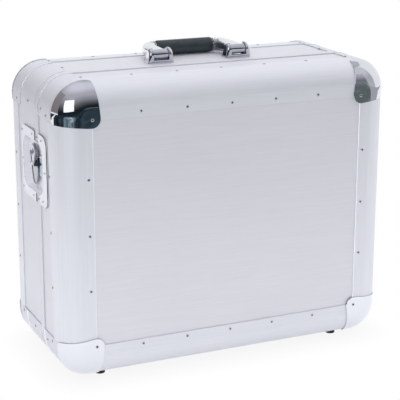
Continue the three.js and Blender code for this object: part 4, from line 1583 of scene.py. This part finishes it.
        # Where the floor's dark, grey and light parts meet, and a bend between the grey and the light one
        meet, bend = (0.95, -0.95), (1.5, -1.75)
        outlines = (
            ("floor_low", dark, [(left, 0.6), (-1.6, 0.5), (-0.8, -0.8), meet, (0.95, front), (left, front)]),
            ("floor_far", dark, [(left, 0.95), (-1.85, 0.85), (-1.25, 1.3), (-0.9, 2.6), (left, 8)]),
            ("floor_grey", grey, [meet, bend, (4.2, front), (0.95, front)]),
            ("floor_light", light, [meet, (2, -0.6), (right, 1.5), (right, front), (4.2, front), bend]),
            ("wall_front", wall, self.upright((left, front), (3.2, front))),
            ("wall_far", far, self.upright((3.2, front), (right, front))),
            ("wall_left", wall, self.upright((left, -0.4), (left, front))),
            ("wall_side", warm, self.upright((left, 4.5), (left, -0.4), 0.3)),
            ("wall_back", warm, self.upright((-2.2, 8), (left, 4.5), 0.3)),
            ("wall_right", pale, self.upright((right, -2.2), (right, front))),
            ("ceiling", ceiling, [(left, front, top), (right, front, top), (right, 9, top), (left, 9, top)]),
            ("window", window, [(-2.15, -1.2, 0.6), (-0.95, -2.3, 0.6), (-1.2, -2.07, 2.3), (-2.45, -0.92, 2.3)]),
        )
        for name, material, outline in outlines:
            self.screen(name, material, outline)

    def glow(
        self, name: str, stops: Sequence[tuple[float, Colour]], cloud: float = 0.0, spot: Optional[GlowSpot] = None
    ) -> Material:
        """Makes an even, a graded or a clouded glow.

        Args:
            name: The material's name.
            stops: Heights above the floor, each with its colour.
            cloud: Brightness of soft patches over it.
            spot: A brighter place in it.

        Returns:
            The material.
        """
        material, tree = new_material(name, empty=True)
        ground = stops[0][1]
        glow = add_node(tree, "Emission", {"Color": ground, "Strength": 1.0})
        if len(stops) > 1:
            height = add_node(tree, "SeparateXYZ", {"Vector": object_place(tree)}).outputs["Z"]
            tallest = stops[-1][0]
            share = add_node(tree, "Math", {0: height, 1: tallest}, operation="DIVIDE")
            ramp = add_node(tree, "ValToRGB", {"Fac": share})
            points = ramp.color_ramp.elements
            while len(points) < len(stops):
                points.new(0.5)
            for point, (at, colour) in zip(points, stops):
                point.position, point.color = at / tallest, colour
            feed(tree, glow, {"Color": ramp})
        if cloud:
            patches = add_node(
                tree, "TexNoise", {"Vector": object_place(tree), "Scale": self.cloud_scale, "Detail": 3.0}
            )
            limits = {"From Min": self.cloud_from, "From Max": self.cloud_to}
            limits |= {"To Min": 1.0, "To Max": 1.0 + cloud / self.cloud_ground}
            feed(tree, glow, {"Strength": add_node(tree, "MapRange", {"Value": patches, **limits})})
        if spot:
            away = add_node(tree, "VectorMath", {0: object_place(tree), 1: spot.at}, operation="DISTANCE")
            limits = {"From Min": spot.near, "From Max": spot.far, "To Min": 1.0, "To Max": 0.0}
            limits["Value"] = away.outputs["Value"]
            fade = add_node(tree, "MapRange", limits, interpolation_type="SMOOTHSTEP")
            feed(tree, glow, {"Color": blend(tree, fade, ground, spot.colour)})
        add_node(tree, "OutputMaterial", {"Surface": glow})
        return material

    def upright(self, start: tuple, end: tuple, low: float = 0.0) -> list[tuple[float, float, float]]:
        """Gives the corners of a wall from one place on the floor to another, from a height to the ceiling."""
        return [(*start, low), (*end, low), (*end, self.room_height), (*start, self.room_height)]

    def screen(self, name: str, material: Material, outline: Sequence[Sequence[float]]) -> None:
        """Hangs a flat screen that only glossy rays meet.

        Args:
            name: Its name.
            material: Its glow.
            outline: Its corners. One with two values lies just over the floor.
        """
        form = bmesh.new()
        form.faces.new([form.verts.new(p if len(p) == 3 else (*p, self.lying)) for p in outline])
        screen = new_object(name, form, material)
        screen.visible_camera = screen.visible_diffuse = screen.visible_shadow = False
        screen.visible_transmission = screen.visible_volume_scatter = False

    def lamps(self) -> None:
        """Sets the soft boxes, which the room's screens stand in for in polished surfaces."""
        self.soft_box("key_box", (-1.5, -1.8, 1.35), (0, 0, 0.25), (1.1, 1.1), 20.5)
        self.soft_box("top_box", (0.1, 0.5, 2.4), (0, 0, 0.3), (2.2, 1.6), 21)
        self.soft_box("right_box", (2.4, -1.4, 1.1), (0, 0, 0.25), (1.4, 1.4), 4)

    def soft_box(
        self, name: str, at: Sequence[float], aim: Sequence[float], size: tuple[float, float], power: float
    ) -> None:
        """Adds an area lamp.

        Args:
            name: The lamp's name.
            at: Its place.
            aim: The point that it faces.
            size: Its width and height.
            power: Its power in watts.
        """
        data = bpy.data.lights.new(name, "AREA")
        data.shape = "RECTANGLE"
        data.size, data.size_y = size
        data.energy = power
        lamp = bpy.data.objects.new(name, data)
        way = Vector(aim) - Vector(at)
        lamp.matrix_world = Matrix.Translation(at) @ way.to_track_quat("-Z", "Y").to_matrix().to_4x4()
        lamp.visible_glossy = False
        bpy.context.scene.collection.objects.link(lamp)


def main() -> None:
    """Builds the studio and every sub-assembly of the case, in order."""
    logging.basicConfig(level=logging.INFO, format="%(name)s: %(message)s")
    Studio().build()
    builders: list[Callable[[], SubAssembly]] = [Panels, EdgeStrips, Corners, Rivets, Fittings, Handle, Foam]
    for builder in builders:
        part = builder()
        part.build()
        LOG.info("%s: %d pieces", builder.__name__, len(part.pieces))


if __name__ == "__main__":
    main()
